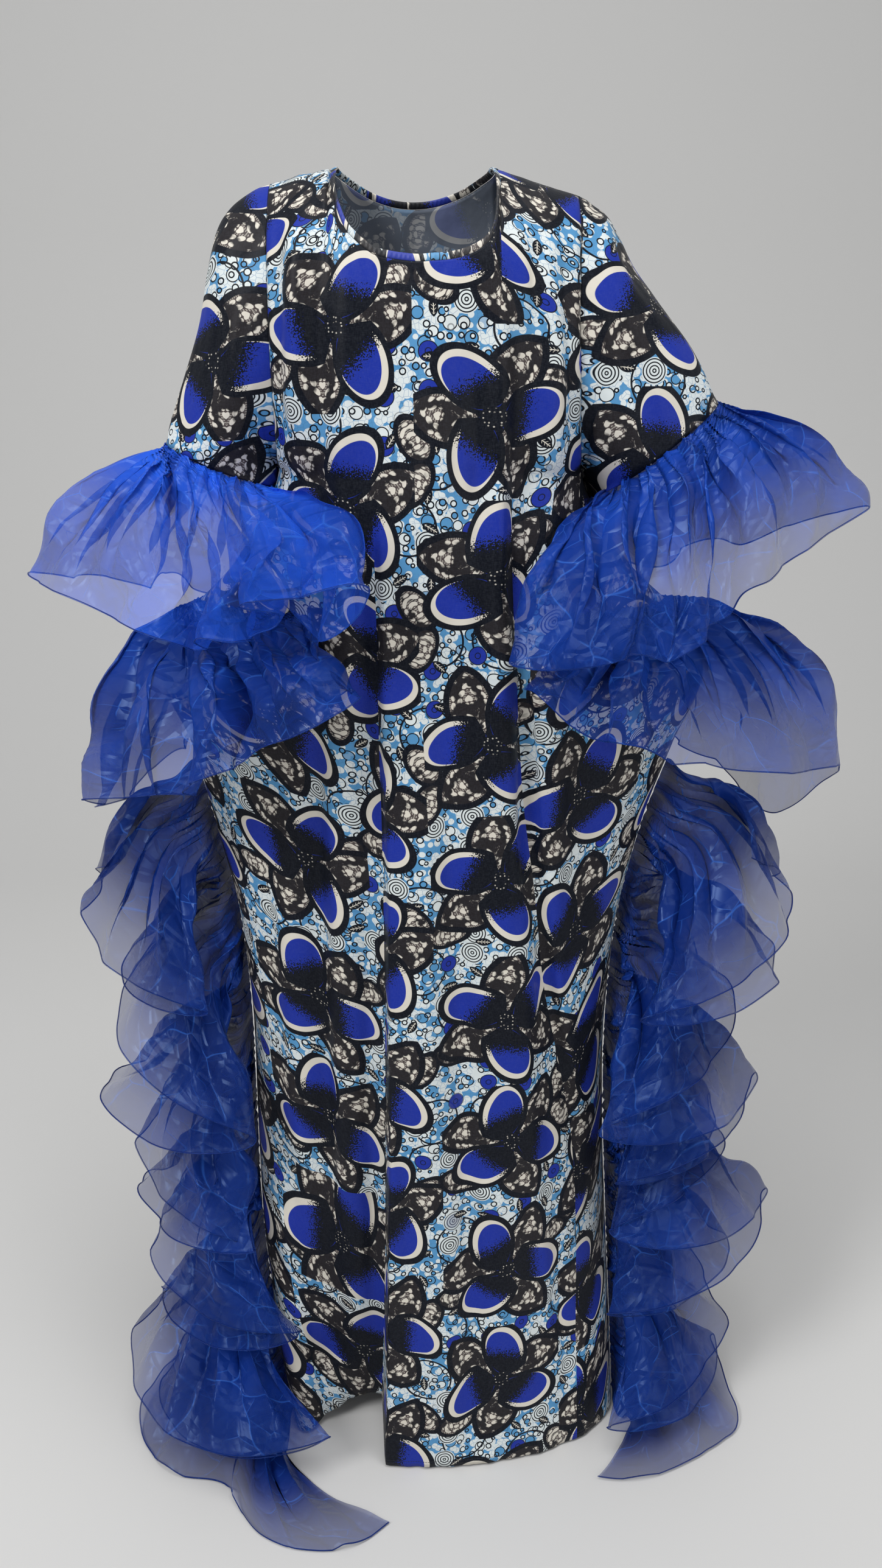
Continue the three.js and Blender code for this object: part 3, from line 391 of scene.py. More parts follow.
def front_y(x, z):
    edge, full, keep, half = rounded(x, z, 1, ARM_FRONT)
    centre = front_fold(z, "centre")
    left_of = np.clip((centre + CREST_HALF - x) / (2 * CREST_HALF), 0, 1)
    fade = np.where(x < centre, 1 - ((centre - x) / (half + centre)) ** 2, 1)
    step = front_fold(z, "step") * smoothstep(left_of) * np.maximum(0, fade)
    off = (x - front_fold(z, "right")) / (GROOVE_HALF * 0.8)
    groove = front_fold(z, "groove") * np.exp(-(off**2))
    sunk = (step + groove + troughs(FRONT_TROUGHS, x, z)) * keep
    return edge + (-section(z, "front") - edge) * full + sunk


def back_y(x, z):
    edge, full, keep, _ = rounded(x, z, -1, ARM_BACK)
    return edge + (section(z, "back") - edge) * full - troughs(BACK_TROUGHS, x, z) * keep


def top_edge(neck, neck_step, shoulder_count):
    """The panel's top edge: left shoulder, neck, right shoulder, with its corners kept."""
    def line(start, end, count):
        share = np.linspace(0, 1, count, endpoint=False)[:, None]
        (x0, z0), (x1, z1) = start, end
        return np.array([x0, 0, z0]) * (1 - share) + np.array([x1, 0, z1]) * share

    count = (len(neck) - 1) * neck_step + 1
    left = line(*SHOULDER_LEFT, shoulder_count)
    right = line(*SHOULDER_RIGHT[::-1], shoulder_count)[::-1]
    return np.concatenate([left, through(neck, np.linspace(0, 1, count)), right])


def front_knots(z):
    centre, right = front_fold(z, "centre"), front_fold(z, "right")
    return [-section(z, "left"), centre - CREST_HALF, centre + CREST_HALF,
            right - GROOVE_HALF, right, right + GROOVE_HALF, section(z, "right")]


def back_knots(z):
    return [-section(z, "left"), 0, section(z, "right")]


def front_hem_z(x, z):
    """The front hem rises to the left of the sharp overlap."""
    lowest = smoothstep((HEM_LIFT_FROM - z) / (HEM_LIFT_FROM - HEM_Z))
    left = smoothstep((front_fold(z, "centre") + CREST_HALF - x) / (2 * CREST_HALF))
    fade_x, fade_width = HEM_LIFT_SIDE
    return z + HEM_LIFT * lowest * left * (1 - smoothstep((fade_x - x) / fade_width))


def panel_grid(edge, knots, depth, hem, yoke_rows, body_rows):
    yoke_y = depth(edge[:, 0], YOKE_Z)
    start = np.arcsin(np.clip(edge[:, 1] / yoke_y, -1, 1))
    rise = (edge[:, 2] - YOKE_Z) / np.cos(start)
    rows = []
    for share in np.linspace(0, 1, yoke_rows, endpoint=False):
        turn = start + (math.pi / 2 - start) * share
        rows.append(np.stack([edge[:, 0], yoke_y * np.sin(turn), YOKE_Z + rise * np.cos(turn)], -1))
    for z in np.linspace(YOKE_Z, HEM_Z, body_rows):
        x = np.interp(edge[:, 0], knots(YOKE_Z), knots(z))
        rows.append(np.stack([x, depth(x, z), hem(x, z)], -1))
    return np.array(rows)


# Cloth hidden in the front's folds: where, top of the fold, length of its opening, width.
HIDDEN_AT_CREST = (-41, -240, 460, 74)
HIDDEN_AT_GROOVE = (96, -200, 420, 46)


def cloth_uv(grid, yoke_rows, hidden=()):
    """Flat places on the cloth: across from the middle, and down from the yoke level. The
    places jump over the cloth that is hidden in folds. Gives the columns of the jumps too."""
    across = lengths(grid, 1)
    middle = np.argmin(np.abs(grid[yoke_rows, :, 0]))
    across = across - across[:, middle:middle + 1]
    down = lengths(grid, 0)
    down = down - down[yoke_rows:yoke_rows + 1]
    uv = np.stack([across, -down], -1)
    breaks = []
    for x, top, opening, width in hidden:
        column = int(np.argmin(np.abs(grid[yoke_rows, :, 0] - x)))
        jump = width * smoothstep((top - grid[:, column, 2]) / opening)
        side = 1 if x > 0 else -1
        place = column + len(breaks)
        left, right = uv[:, :place + 1].copy(), uv[:, place:].copy()
        moved = right if side > 0 else left
        moved[..., 0] += side * jump[:, None]
        uv = np.concatenate([left, right], 1)
        breaks.append(column)
    return uv, tuple(breaks)


def to_sides(grid):
    return np.minimum(lengths(grid, 1), lengths(grid[:, ::-1], 1)[:, ::-1])


def distances(grid, columns):
    """Millimetres to the hem and to the nearer side, for the columns of the UVs."""
    hem = lengths(grid[::-1], 0)[::-1]
    return np.stack([hem, to_sides(grid)], -1)[:, columns]


# Creases on the panels: x and z at each end, depth (less than 0 for a ridge) and width.
FRONT_CREASES = [
    (-126, -50, -136, -270, 7.0, 10), (-104, -40, -114, -250, -5.0, 11),
    (-84, -60, -92, -330, 5.0, 11), (-62, -110, -70, -460, -4.8, 12),
    (-50, -240, -56, -1400, 7.7, 12), (-80, -420, -86, -1200, -6.4, 14),
    (-10, -130, -20, -520, 3.4, 15), (24, -140, 30, -470, -3.4, 14),
    (62, -120, 70, -560, 4.8, 14), (84, -80, 84, -620, -6.2, 10),
    (108, -100, 122, -760, 9.1, 11), (134, -110, 148, -640, -7.0, 11),
    (112, -50, 124, -200, 4.8, 9), (146, -50, 158, -270, 6.4, 9),
    (-140, -420, -60, -560, 4.2, 13), (-112, -540, -104, -1150, 7.6, 14),
    (10, -520, 14, -1100, -4.5, 16), (46, -640, 70, -1380, 6.2, 15),
    (104, -700, 150, -1300, -6.4, 15), (132, -680, 186, -1420, 7.0, 15),
    (-20, -900, 6, -1430, 5.0, 14), (168, -560, 176, -900, 5.6, 13),
    (-150, -640, -136, -1100, -6.2, 13), (120, -980, 160, -1440, 5.6, 16),
    (-18, -330, 60, -420, 2.5, 11), (70, -440, 150, -520, -3.1, 13),
    (-8, -760, 56, -860, 2.5, 12), (64, -1060, 150, -1170, -3.1, 13),
]
BACK_CREASES = [
    (-118, -50, -132, -270, 6.4, 10), (-78, -50, -90, -400, -5.3, 12),
    (-24, -80, -30, -460, 5.6, 14), (34, -70, 40, -500, -5.3, 13),
    (96, -60, 110, -360, 6.2, 11), (134, -60, 150, -290, -5.6, 10),
    (-80, -420, -90, -1100, -6.7, 15), (-20, -520, -10, -1400, 6.7, 15),
    (40, -600, 60, -1300, -6.7, 15), (110, -480, 150, -1200, 6.7, 15),
    (-150, -520, -150, -1000, 6.2, 13), (-120, -900, -128, -1430, -6.2, 14),
    (-70, -380, 20, -470, 3.1, 13), (60, -900, 150, -1010, -3.1, 13),
]


CREASE_END_SHARE = 0.3        # share of a crease's length over which it rises from its end
CREASE_END_START = 0.15
# The cloth's own unevenness: depth, width and height of its bumps, how far they lean over,
# as shares of a lean that itself has a strength, a width and a height.
PANEL_BUMPS = [(1.7, 26, 230, 4), (0.9, 13, 90, 8), (0.3, 6, 22, 0)]
PANEL_LEAN = (0.12, 60, 160)
HEM_PUCKER, HEM_PUCKER_WIDE, HEM_PUCKER_HIGH = 0.5, 4.4, 26
SIDE_FADE, TOP_FADE = 30, 14  # the relief starts this far in from a panel's edges


def creases(table, x, z):
    """How far soft ridges stand out of the cloth, and troughs sink in, at x and z."""
    out = np.zeros_like(x)
    for x0, z0, x1, z1, depth, width in table:
        run = np.array([x1 - x0, z1 - z0], float)
        share = ((x - x0) * run[0] + (z - z0) * run[1]) / (run @ run)
        away = ((x - x0) * run[1] - (z - z0) * run[0]) / np.hypot(*run)
        ends = (smoothstep(share / CREASE_END_SHARE + CREASE_END_START)
                * smoothstep((1 - share) / CREASE_END_SHARE + CREASE_END_START))
        out -= depth * ends * np.exp(-((away / width) ** 2))
    return out


def hem_pucker(grid):
    """1 at the stitched hem, down to 0 a little above it."""
    return smoothstep(1 - lengths(grid[::-1], 0)[::-1] / HEM_PUCKER_HIGH)


def relieved(grid, table, seed):
    """The panel with its creases and the cloth's own unevenness."""
    x, z = grid[..., 0], grid[..., 2]
    strength, wide, high = PANEL_LEAN
    lean = strength * noise(x / wide, z / high, seed)
    out = creases(table, x, z)
    for k, (depth, wide, high, leaning) in enumerate(PANEL_BUMPS, 1):
        out += depth * noise(x / wide + lean * leaning, z / high, seed + k)
    pucker = np.sin(x / HEM_PUCKER_WIDE + 3 * noise(x / 9, z / 40, seed + 4))
    out += HEM_PUCKER * pucker * hem_pucker(grid)
    out *= smoothstep(to_sides(grid) / SIDE_FADE)
    out *= smoothstep(lengths(grid, 0) / TOP_FADE + 0.1)
    return grid + normals_outward(grid) * (WALL_MIDDLE + out)[..., None]


def normals_outward(grid):
    normal = normals_of(grid)
    facing = (normal[..., :2] * grid[..., :2]).sum()
    return normal if facing > 0 else -normal


PANEL_BANDS = ("yoke", "chest", "skirt", "hem")    # the CAD bands of each panel
FRONT_YOKE_ROWS, FRONT_BODY_ROWS = 34, 212
BACK_YOKE_ROWS, BACK_BODY_ROWS = 28, 180
FRONT_SHOULDER, BACK_SHOULDER = 32, 28       # columns of each shoulder
FRONT_NECK_STEP, BACK_NECK_STEP = 6, 12      # columns from one row of the neck to the next
FRONT_SEED, BACK_SEED = 11, 31
BACK_PRINT_PLACE = (900, 120)                # where the back lies on the printed cloth

front_edge = top_edge(FRONT_NECK, FRONT_NECK_STEP, FRONT_SHOULDER)
back_edge = top_edge(BACK_NECK, BACK_NECK_STEP, BACK_SHOULDER)
front_grid = panel_grid(front_edge, front_knots, front_y, front_hem_z,
                        FRONT_YOKE_ROWS, FRONT_BODY_ROWS)
back_grid = panel_grid(back_edge, back_knots, back_y, lambda x, z: z + 0 * x,
                       BACK_YOKE_ROWS, BACK_BODY_ROWS)
front_form = relieved(front_grid, FRONT_CREASES, FRONT_SEED)
back_form = relieved(back_grid, BACK_CREASES, BACK_SEED)


def make_panels():
    hidden = (HIDDEN_AT_CREST, HIDDEN_AT_GROOVE)
    front_uv, breaks = cloth_uv(front_grid, FRONT_YOKE_ROWS, hidden)
    back_uv, _ = cloth_uv(back_grid, BACK_YOKE_ROWS)
    columns = np.sort(np.concatenate([np.arange(front_grid.shape[1]), breaks]).astype(int))
    front = grid_mesh("front_cloth", front_form, front_uv, distances(front_grid, columns),
                      breaks=breaks)
    back = grid_mesh("back_cloth", back_form, back_uv + BACK_PRINT_PLACE,
                     distances(back_grid, slice(None)), flipped=True)
    for piece, panel in ((front, "front_panel"), (back, "back_panel")):
        thicken(piece, COTTON_THICK)
        nodes = [f"{panel}_{band}" for band in PANEL_BANDS]
        finish_cloth(piece, nodes, [print_cotton, print_inside])


# ---- sleeves
SLEEVE_AROUND = 120
SLEEVE_ROWS = 70
SEAM_CLEAR = 0.6
UNDERARM_TUCK = 6.5           # how far the inner side lies in towards the panels
# Its bumps: depth, number across and up the arm, place in the noise, change down the arm.
SLEEVE_BUMPS = [(1.6, 4, 3, 8, 2.5), (0.7, 9, 8, 16, 5)]
SLEEVE_FOLDS = (3.2, 5)       # depth and number of the folds that run down the arm
NO_SEAM_SHADOW = 500.0          # a way to the side so long that no painted seam shadow is drawn
CUFF_ALLOWANCE = 8            # of the way to the hem, so that no stitches show at the cuff


def armhole_loop(side, angles):
    """The armhole's edge, down the front from the shoulder line and up the back."""
    tip_x, tip_z = SHOULDER_LEFT[0] if side < 0 else SHOULDER_RIGHT[1]
    points = []
    for angle in angles:
        front = angle <= math.pi
        turn = angle if front else 2 * math.pi - angle
        depth = front_y if front else back_y
        if turn <= math.pi / 2:
            y = float(depth(np.array(tip_x), YOKE_Z)) * math.sin(turn)
            points.append((tip_x, y, YOKE_Z + (tip_z - YOKE_Z) * math.cos(turn)))
        else:
            z = YOKE_Z + (UNDERARM_Z - YOKE_Z) * math.sin(turn - math.pi / 2)
            x = side * float(section(z, "left" if side < 0 else "right"))
            points.append((x, float(depth(np.array(x), z)), z))
    return np.array(points) + (side * SEAM_CLEAR, 0, 0)


def sleeve_grid(loops, side):
    """Loops round the arm, from the armhole to the cuff."""
    angles = np.linspace(0, 2 * math.pi, SLEEVE_AROUND, endpoint=False)
    share = (1 + np.cos(angles)) / 2
    rings = [armhole_loop(side, angles)]
    for outer_x, outer_z, inner_x, inner_z, front, back in loops:
        depth = np.where(angles <= math.pi, front, back)
        rings.append(np.stack([inner_x + (outer_x - inner_x) * share,
                               -depth * np.sin(angles),
                               inner_z + (outer_z - inner_z) * share], -1))
    rings = np.array(rings)
    at = np.linspace(0, len(rings) - 1, SLEEVE_ROWS)
    flat = rings.reshape(len(rings), -1)
    smooth = np.stack([curve(np.arange(len(rings)), column, at) for column in flat.T], -1)
    grid = smooth.reshape(SLEEVE_ROWS, SLEEVE_AROUND, 3)
    inner = (1 - share) ** 4 * smoothstep(3 * at / at[-1])[:, None]
    grid[..., 0] -= side * UNDERARM_TUCK * inner
    return grid


def sleeve_outward(grid):
    normal = normals_of(grid, True)
    middle = grid.mean(1, keepdims=True)
    return normal if ((grid - middle) * normal).sum() > 0 else -normal


sleeve_left = sleeve_grid(SLEEVE_LEFT, -1)
sleeve_right = sleeve_grid(SLEEVE_RIGHT, 1)


def sleeve_uv(grid, place):
    """Flat places on the cloth of half a sleeve, unrolled to both sides of its middle. The
    half's columns run from the underarm to the outer edge, or back."""
    run = lengths(grid, 1)
    run = run - run[:, -1:] / 2
    start, end = grid[:, :1], grid[:, -1:]
    way = (end - start)[..., [0, 2]]
    way /= np.linalg.norm(way, axis=2, keepdims=True)
    middle = ((start + end) / 2)[..., [0, 2]]
    return middle + way * run[..., None] + place


def make_sleeve(name, node, grid, side, seed, places):
    """A sleeve, seamed under the arm and along its outer edge."""
    half = SLEEVE_AROUND // 2
    t = np.linspace(0, 1, SLEEVE_ROWS)[:, None]
    angle = np.linspace(0, 2 * math.pi, SLEEVE_AROUND, endpoint=False)[None, :]
    ring = np.concatenate([np.sin(angle), np.cos(angle)], 0)
    fold_depth, folds = SLEEVE_FOLDS
    out = fold_depth * np.sin(folds * angle + 1.5 + 2.2 * t + seed) * smoothstep(t * 1.6)
    for k, (depth, across, up, place, down) in enumerate(SLEEVE_BUMPS):
        bumps = noise(across * ring[0] + place + 0 * t, up * ring[1] + place + down * t, seed + k)
        out = out + depth * bumps
    out = out * smoothstep(t / 0.12 + 0.05) * smoothstep((1 - t) / 0.08 + 0.25)
    cloth = grid + sleeve_outward(grid) * (WALL_MIDDLE + out)[..., None]
    cloth = np.roll(cloth, -half, 1)
    back, front = cloth[:, :half + 1], np.concatenate([cloth[:, half:], cloth[:, :1]], 1)
    uv = np.concatenate([sleeve_uv(back, places[0]), sleeve_uv(front, places[1])], 1)
    to_cuff = lengths(cloth[::-1], 0)[::-1]
    columns = np.r_[0:half + 1, half:SLEEVE_AROUND, 0]
    away = np.stack([np.full(uv.shape[:2], NO_SEAM_SHADOW), to_cuff[:, columns] + CUFF_ALLOWANCE], -1)
    piece = grid_mesh(name, cloth, uv, away, closed=True, flipped=side > 0, breaks=(half,))
    thicken(piece, COTTON_THICK)
    finish_cloth(piece, [node], [print_cotton, print_inside])


# ---- neck binding
BINDING_HALF_WIDTH = 3.5
BINDING_HALF_THICK = 1.3
BINDING_OVERLAP = 0.4         # from the panels' edge to the binding's own
BINDING_TILT = (0.35, 0.6, 60)  # uprightness in front, what it gains to the side, and where
BINDING_PUCKER = 4.6          # from one pucker of the binding to the next
PUCKER_DEPTH = 0.32
PUCKER_STEPS = 8              # columns of the mesh for each pucker
BINDING_ROUND = 14            # rows of the mesh round the binding
BINDING_EASE = 1.35           # length of cloth taken up by a length of binding
BINDING_PRINT_PLACE = (300, 210)
NECK_MIDDLE = (2, -12)


def round_neck(front, back):
    """Joins rows of the two panels' top edges to one loop round the neck."""
    front = front[0, FRONT_SHOULDER:1 - FRONT_SHOULDER]
    back = back[0, BACK_SHOULDER:1 - BACK_SHOULDER]
    return np.concatenate([front, back[::-1][1:-1]])


def make_binding():
    edge = round_neck(front_form, back_form)
    near = round_neck(normals_outward(front_grid), normals_outward(back_grid))
    inward = np.stack([NECK_MIDDLE[0] - edge[:, 0], NECK_MIDDLE[1] - edge[:, 1], 0 * edge[:, 0]], -1)
    inward /= np.linalg.norm(inward, axis=1, keepdims=True)
    least_tilt, more_tilt, full_at = BINDING_TILT
    upright = least_tilt + more_tilt * np.clip(np.abs(edge[:, 1:2]) / full_at, 0, 1)
    away = inward * np.sqrt(1 - upright**2) + np.array([0, 0, 1]) * upright
    period = lengths(np.concatenate([edge, edge[:1]])[None], 1)[0]
    girth = period[-1]
    count = round(girth / BINDING_PUCKER)
    fine = np.linspace(0, girth, count * PUCKER_STEPS, endpoint=False)
    resample = lambda points: np.stack(
        [np.interp(fine, period, np.append(column, column[0])) for column in points.T], -1)
    edge, near, away = resample(edge), resample(near), resample(away)
    phase = 2 * math.pi * fine / girth * count
    wobble = 1 + 0.5 * noise(fine / 9, 0 * fine, 5)
    pucker = np.sin(phase + 0.8 * noise(fine / 14, 0 * fine, 6)) * wobble
    rows = []
    for turn in np.linspace(0, 2 * math.pi, BINDING_ROUND, endpoint=False):
        reach = BINDING_HALF_WIDTH * (1 - math.cos(turn)) + BINDING_OVERLAP
        out = BINDING_HALF_THICK + PUCKER_DEPTH * pucker * abs(math.sin(turn))
        rows.append(edge + away * reach + near * (out * math.sin(turn))[:, None])
    grid = np.array(rows).transpose(1, 0, 2)
    around = np.linspace(0, 4 * BINDING_HALF_WIDTH, BINDING_ROUND + 1)
    x, y = fine[:, None] * BINDING_EASE, around[None, :]
    uv = np.stack(np.broadcast_arrays(x, y), -1) + BINDING_PRINT_PLACE
    grid = np.concatenate([grid, grid[:1]], 0)
    uv = np.concatenate([uv, uv[-1:] + (BINDING_PUCKER / PUCKER_STEPS * BINDING_EASE, 0)], 0)
    piece = grid_mesh("neck_band", grid, uv, closed=True)
    weld = piece.modifiers.new("join", "WELD")
    weld.merge_threshold = 0.00002
    finish_cloth(piece, ["neck_binding"], [print_binding])


# ---- ruffles
ROLL_RADIUS = 0.9             # of the rolled hem
ROLL_TURN = 1.8 * math.pi
ROLL_STEPS = 5

# Folds of a strip: spacing along the hem, depth, where deepest, spread, lean to the side.
TIER_FOLDS = [
    (32, 2.2, 0.06, 0.18, 0.9), (58, 8.0, 0.4, 0.34, 0.8), (104, 12.0, 0.75, 0.4, 0.6),
    (190, 7.0, 1.0, 0.5, 0),
]
SIDE_FOLDS = [
    (58, 3.2, 0.2, 0.2, 0.5), (92, 9.0, 0.62, 0.4, 0.4), (160, 7.0, 1.0, 0.5, 0.2),
]
# Where the cloth of a strip starts and stops to thin out from its gathers, as shares of the
# way to the hem, and how much painted shade darkens it where layers lie on each other, from 0 to 1.
STRIP_LOOKS = {
    "cuff_ruffle_left": (0.02, 0.5, 0.0), "cuff_ruffle_right": (0.2, 0.9, 0.75),
    "lower_ruffle_left": (0.3, 1.0, 0.8), "lower_ruffle_right": (0.2, 0.9, 0.75),
    "side_ruffle_left": (0.45, 0.9, 1.0), "side_ruffle_right": (0.45, 0.9, 1.0),
}
# The drift of a fold along the hem: share of its spacing, bumps along and down, place in
# the noise, seed. DEPTH_CHANGE makes folds uneven and RIPPLE sharpens their crests.
DRIFTS = [(0.5, 0.45, 1.7, 3, 0), (0.16, 1.3, 3.1, 0, 40)]
DEPTH_CHANGE = 0.75
RIPPLE = 0.18
# The creases of the organza: depth, length along the hem and down to it, seed.
FACETS = [(1.7, 52, 64, 60), (0.45, 19, 26, 61)]

# The meshes' columns from one row of a strip's table to the next, and their rows.
CUFF_MESH, LOWER_MESH, SIDE_MESH = (44, 42), (48, 40), (60, 50)
CUFF_GAP = 0.6                # from the sleeve's edge to the ruffle on it
LOWER_CLEAR = 2 * WALL_MIDDLE + 1.6   # from the panels' form to the gathers of the lower tier
LOWER_TOP_END = 0.985         # share of the way to the side seam where its front and back end
SIDE_CLEAR = 2 * WALL_MIDDLE + 0.6

# How a cascade leaves its seam: the turn, reach and drop of the point that draws it out, as
# shares of its hem's. At the top of the seam the last two change over TOP_LIFT millimetres.
LEAD_TURN = 0.5
LEAD_REACH, TOP_REACH = 0.45, 0.75
LEAD_DROP, TOP_DROP = 0.35, 0.12
TOP_LIFT = 70.0
COVER = (-9, -24)             # how far in and forward its upper part bulges over the seam
COVER_MIDDLE, COVER_SPREAD = 0.2, 0.14


def strip(top, lead, hem, rows):
    """Curves from the gathered edge to the hem."""
    r = np.linspace(0, 1, rows)[:, None, None]
    return (1 - r) ** 2 * top + 2 * r * (1 - r) * lead + r**2 * hem


def ridged(u, v, seed):
    """Sharp creases between soft facets, from -1 to 1."""
    return 1 - 4 * np.abs(noise(u, v, seed)) + 0.35 * noise(u * 2.1, v * 2.1, seed + 1)


def pleated(grid, folds, seed):
    """Gathers and folds along a strip. Each fold has its spacing in millimetres at the
    hem's full length, its depth, the share of the way to the hem where it is deepest,
    with its spread, and how far it leans over to its side."""
    rows, columns = grid.shape[:2]
    r = np.linspace(0, 1, rows)[:, None]
    wide = lengths(grid, 1)
    run = wide / wide[:, -1:] * wide[-1, -1]
    down = lengths(grid, 0)
    normal = normals_of(grid)
    along = np.gradient(grid, axis=1)
    along /= np.maximum(np.linalg.norm(along, axis=2, keepdims=True), 1e-9)
    out, over = np.zeros((rows, columns)), np.zeros((rows, columns))
    for k, (spacing, depth, peak, spread, lean) in enumerate(folds):
        place = run / spacing
        drift = sum(share * noise(place * u + start, r * v + k, seed + salt + k)
                    for share, u, v, start, salt in DRIFTS)
        angle = 2 * math.pi * (place + drift)
        strength = 1 + DEPTH_CHANGE * noise(place * 0.37 + 9, r * 1.3, seed + 20 + k)
        strength = strength * depth * np.exp(-(((r - peak) / spread) ** 2))
        out += strength * (np.sin(angle) + RIPPLE * np.sin(2 * angle + 1.1))
        over += strength * lean * np.sin(2 * angle)
    middle = smoothstep(r / 0.2) * smoothstep((1.04 - r) / 0.12)
    for depth, length_along, length_down, salt in FACETS:
        out += depth * ridged(run / length_along, down / length_down, seed + salt) * middle
    return grid + normal * out[..., None] + along * over[..., None]


def rolled(grid):
    """Adds a narrow rolled hem to the last row."""
    last = grid[-1]
    down = last - grid[-2]
    down /= np.maximum(np.linalg.norm(down, axis=1, keepdims=True), 1e-9)
    side = normals_of(grid)[-1]
    rows = []
    for k in range(1, ROLL_STEPS + 1):
        turn = ROLL_TURN * k / ROLL_STEPS
        rows.append(last + ROLL_RADIUS * (down * math.sin(turn) + side * (1 - math.cos(turn))))
    return np.concatenate([grid, np.array(rows)])


def make_ruffle(name, node, grid, folds, seed):
    cloth = pleated(grid, folds, seed)
    cloth[..., 2] = np.maximum(cloth[..., 2], FLOOR + 1 + 2 * ROLL_RADIUS)
    cloth = rolled(cloth)
    along = lengths(cloth, 1)
    from_hem = lengths(cloth[::-1], 0)[::-1]
    uv = np.stack([np.broadcast_to(along.mean(0), from_hem.shape), from_hem], -1)
    down = np.linspace(0, 1, len(from_hem))
    # The last number is the strip's share of painted shade.
    start, end, deep = STRIP_LOOKS[node]
    thick = 1 - smoothstep((down - start) / (end - start))
    second = np.stack(np.broadcast_arrays(thick[:, None], deep + 0 * from_hem), -1)
    piece = grid_mesh(name, cloth, uv, second)
    finish_cloth(piece, [node], [organza])


def resampled(points, run, count):
    """Evenly spaced points along a row of them, each a number run along it."""
    at = np.linspace(0, run[-1], count)
    return np.stack([np.interp(at, run, column) for column in points.T], -1)


def make_tier(name, node, gathered, hem_table, mesh_size, seed):
    """A tier from its gathered edge, made for a count of columns, to its hem's table."""
    step, rows = mesh_size
    columns = (len(hem_table) - 1) * step + 1
    top = gathered(columns)
    hem_rows = through(hem_table, np.linspace(0, 1, columns))
    hem, puff = hem_rows[:, :3], hem_rows[:, 3:]
    lead = top + (hem - top) * np.concatenate([puff, puff, 1 - puff], 1)
    make_ruffle(name, node, strip(top, lead, hem, rows), TIER_FOLDS, seed)


def cuff_top(sleeve, count):
    """The cuff's edge from its inner end round the front and the outside to the back."""
    cuff = sleeve[-1] + sleeve_outward(sleeve)[-1] * WALL_MIDDLE
    away = sleeve[-1] - sleeve[-2]
    away /= np.linalg.norm(away, axis=1, keepdims=True)
    ring = np.roll((cuff + away * CUFF_GAP)[::-1], SLEEVE_AROUND // 2 + 1, 0)
    ring = ring[:SLEEVE_AROUND - SLEEVE_AROUND // 14]
    return resampled(ring, np.arange(len(ring)), count)


def seam_point(z, side):
    half = section(z, "left" if side < 0 else "right")
    depth = section(z, "left_y" if side < 0 else "right_y")
    return np.stack([side * half, depth, z], -1)


def lower_top(ends, side, count):
    """The lower tier's gathered edge, laid on the panels round the side of the gown."""
    seam_x = float(seam_point(np.array(float(LOWER_TOP_Z)), side)[0])
    points = []
    for x_end, depth, way in ((ends[0], front_y, -1), (ends[1], back_y, 1)):
        share = np.linspace(0, LOWER_TOP_END, count)
        x = x_end + (seam_x - x_end) * np.sin(share * math.pi / 2)
        slope = depth(x + 0.5, LOWER_TOP_Z) - depth(x - 0.5, LOWER_TOP_Z)
        normal = np.stack([-slope * way, way + 0 * x, 0 * x], -1)
        normal /= np.linalg.norm(normal, axis=1, keepdims=True)
        row = np.stack([x, depth(x, LOWER_TOP_Z), LOWER_TOP_Z + 0 * x], -1) + normal * LOWER_CLEAR
        points.append(row if way < 0 else row[::-1])
    points.insert(1, np.array([[seam_x + side * LOWER_CLEAR, 0, LOWER_TOP_Z]]))
    ring = np.concatenate(points)
    return resampled(ring, lengths(ring[None], 1)[0], count)


def make_side_ruffle(name, node, folds, side, seed):
    step, mesh_rows = SIDE_MESH
    table = through(folds, np.linspace(0, 1, (len(folds) - 1) * step + 1))
    z, turn, reach, drop = table.T
    seam = seam_point(z, side) + (side * SIDE_CLEAR, 0, 0)

    def outward(turn_share, reach_share, drop_share):
        angle = np.radians(turn * turn_share)
        way = np.stack([side * np.cos(angle), np.sin(angle)], 0) * reach * reach_share
        return seam + np.stack([*way, -drop * drop_share], -1)

    below = smoothstep((z[0] - z) / TOP_LIFT)
    lead = outward(LEAD_TURN, TOP_REACH + (LEAD_REACH - TOP_REACH) * below,
                   TOP_DROP + (LEAD_DROP - TOP_DROP) * below)
    grid = strip(seam, lead, outward(1, 1, 1), mesh_rows)
    r = np.linspace(0, 1, mesh_rows)[:, None]
    bulge = np.exp(-(((r - COVER_MIDDLE) / COVER_SPREAD) ** 2)) * smoothstep(r / 0.1)
    grid[..., 0] += side * COVER[0] * bulge
    grid[..., 1] += COVER[1] * bulge
    make_ruffle(name, node, grid, SIDE_FOLDS, seed)


# ---- finish of a piece
def finish_cloth(piece, nodes, materials):
    for material in materials:
        piece.data.materials.append(material)
    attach(piece, "root")
    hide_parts(*nodes)


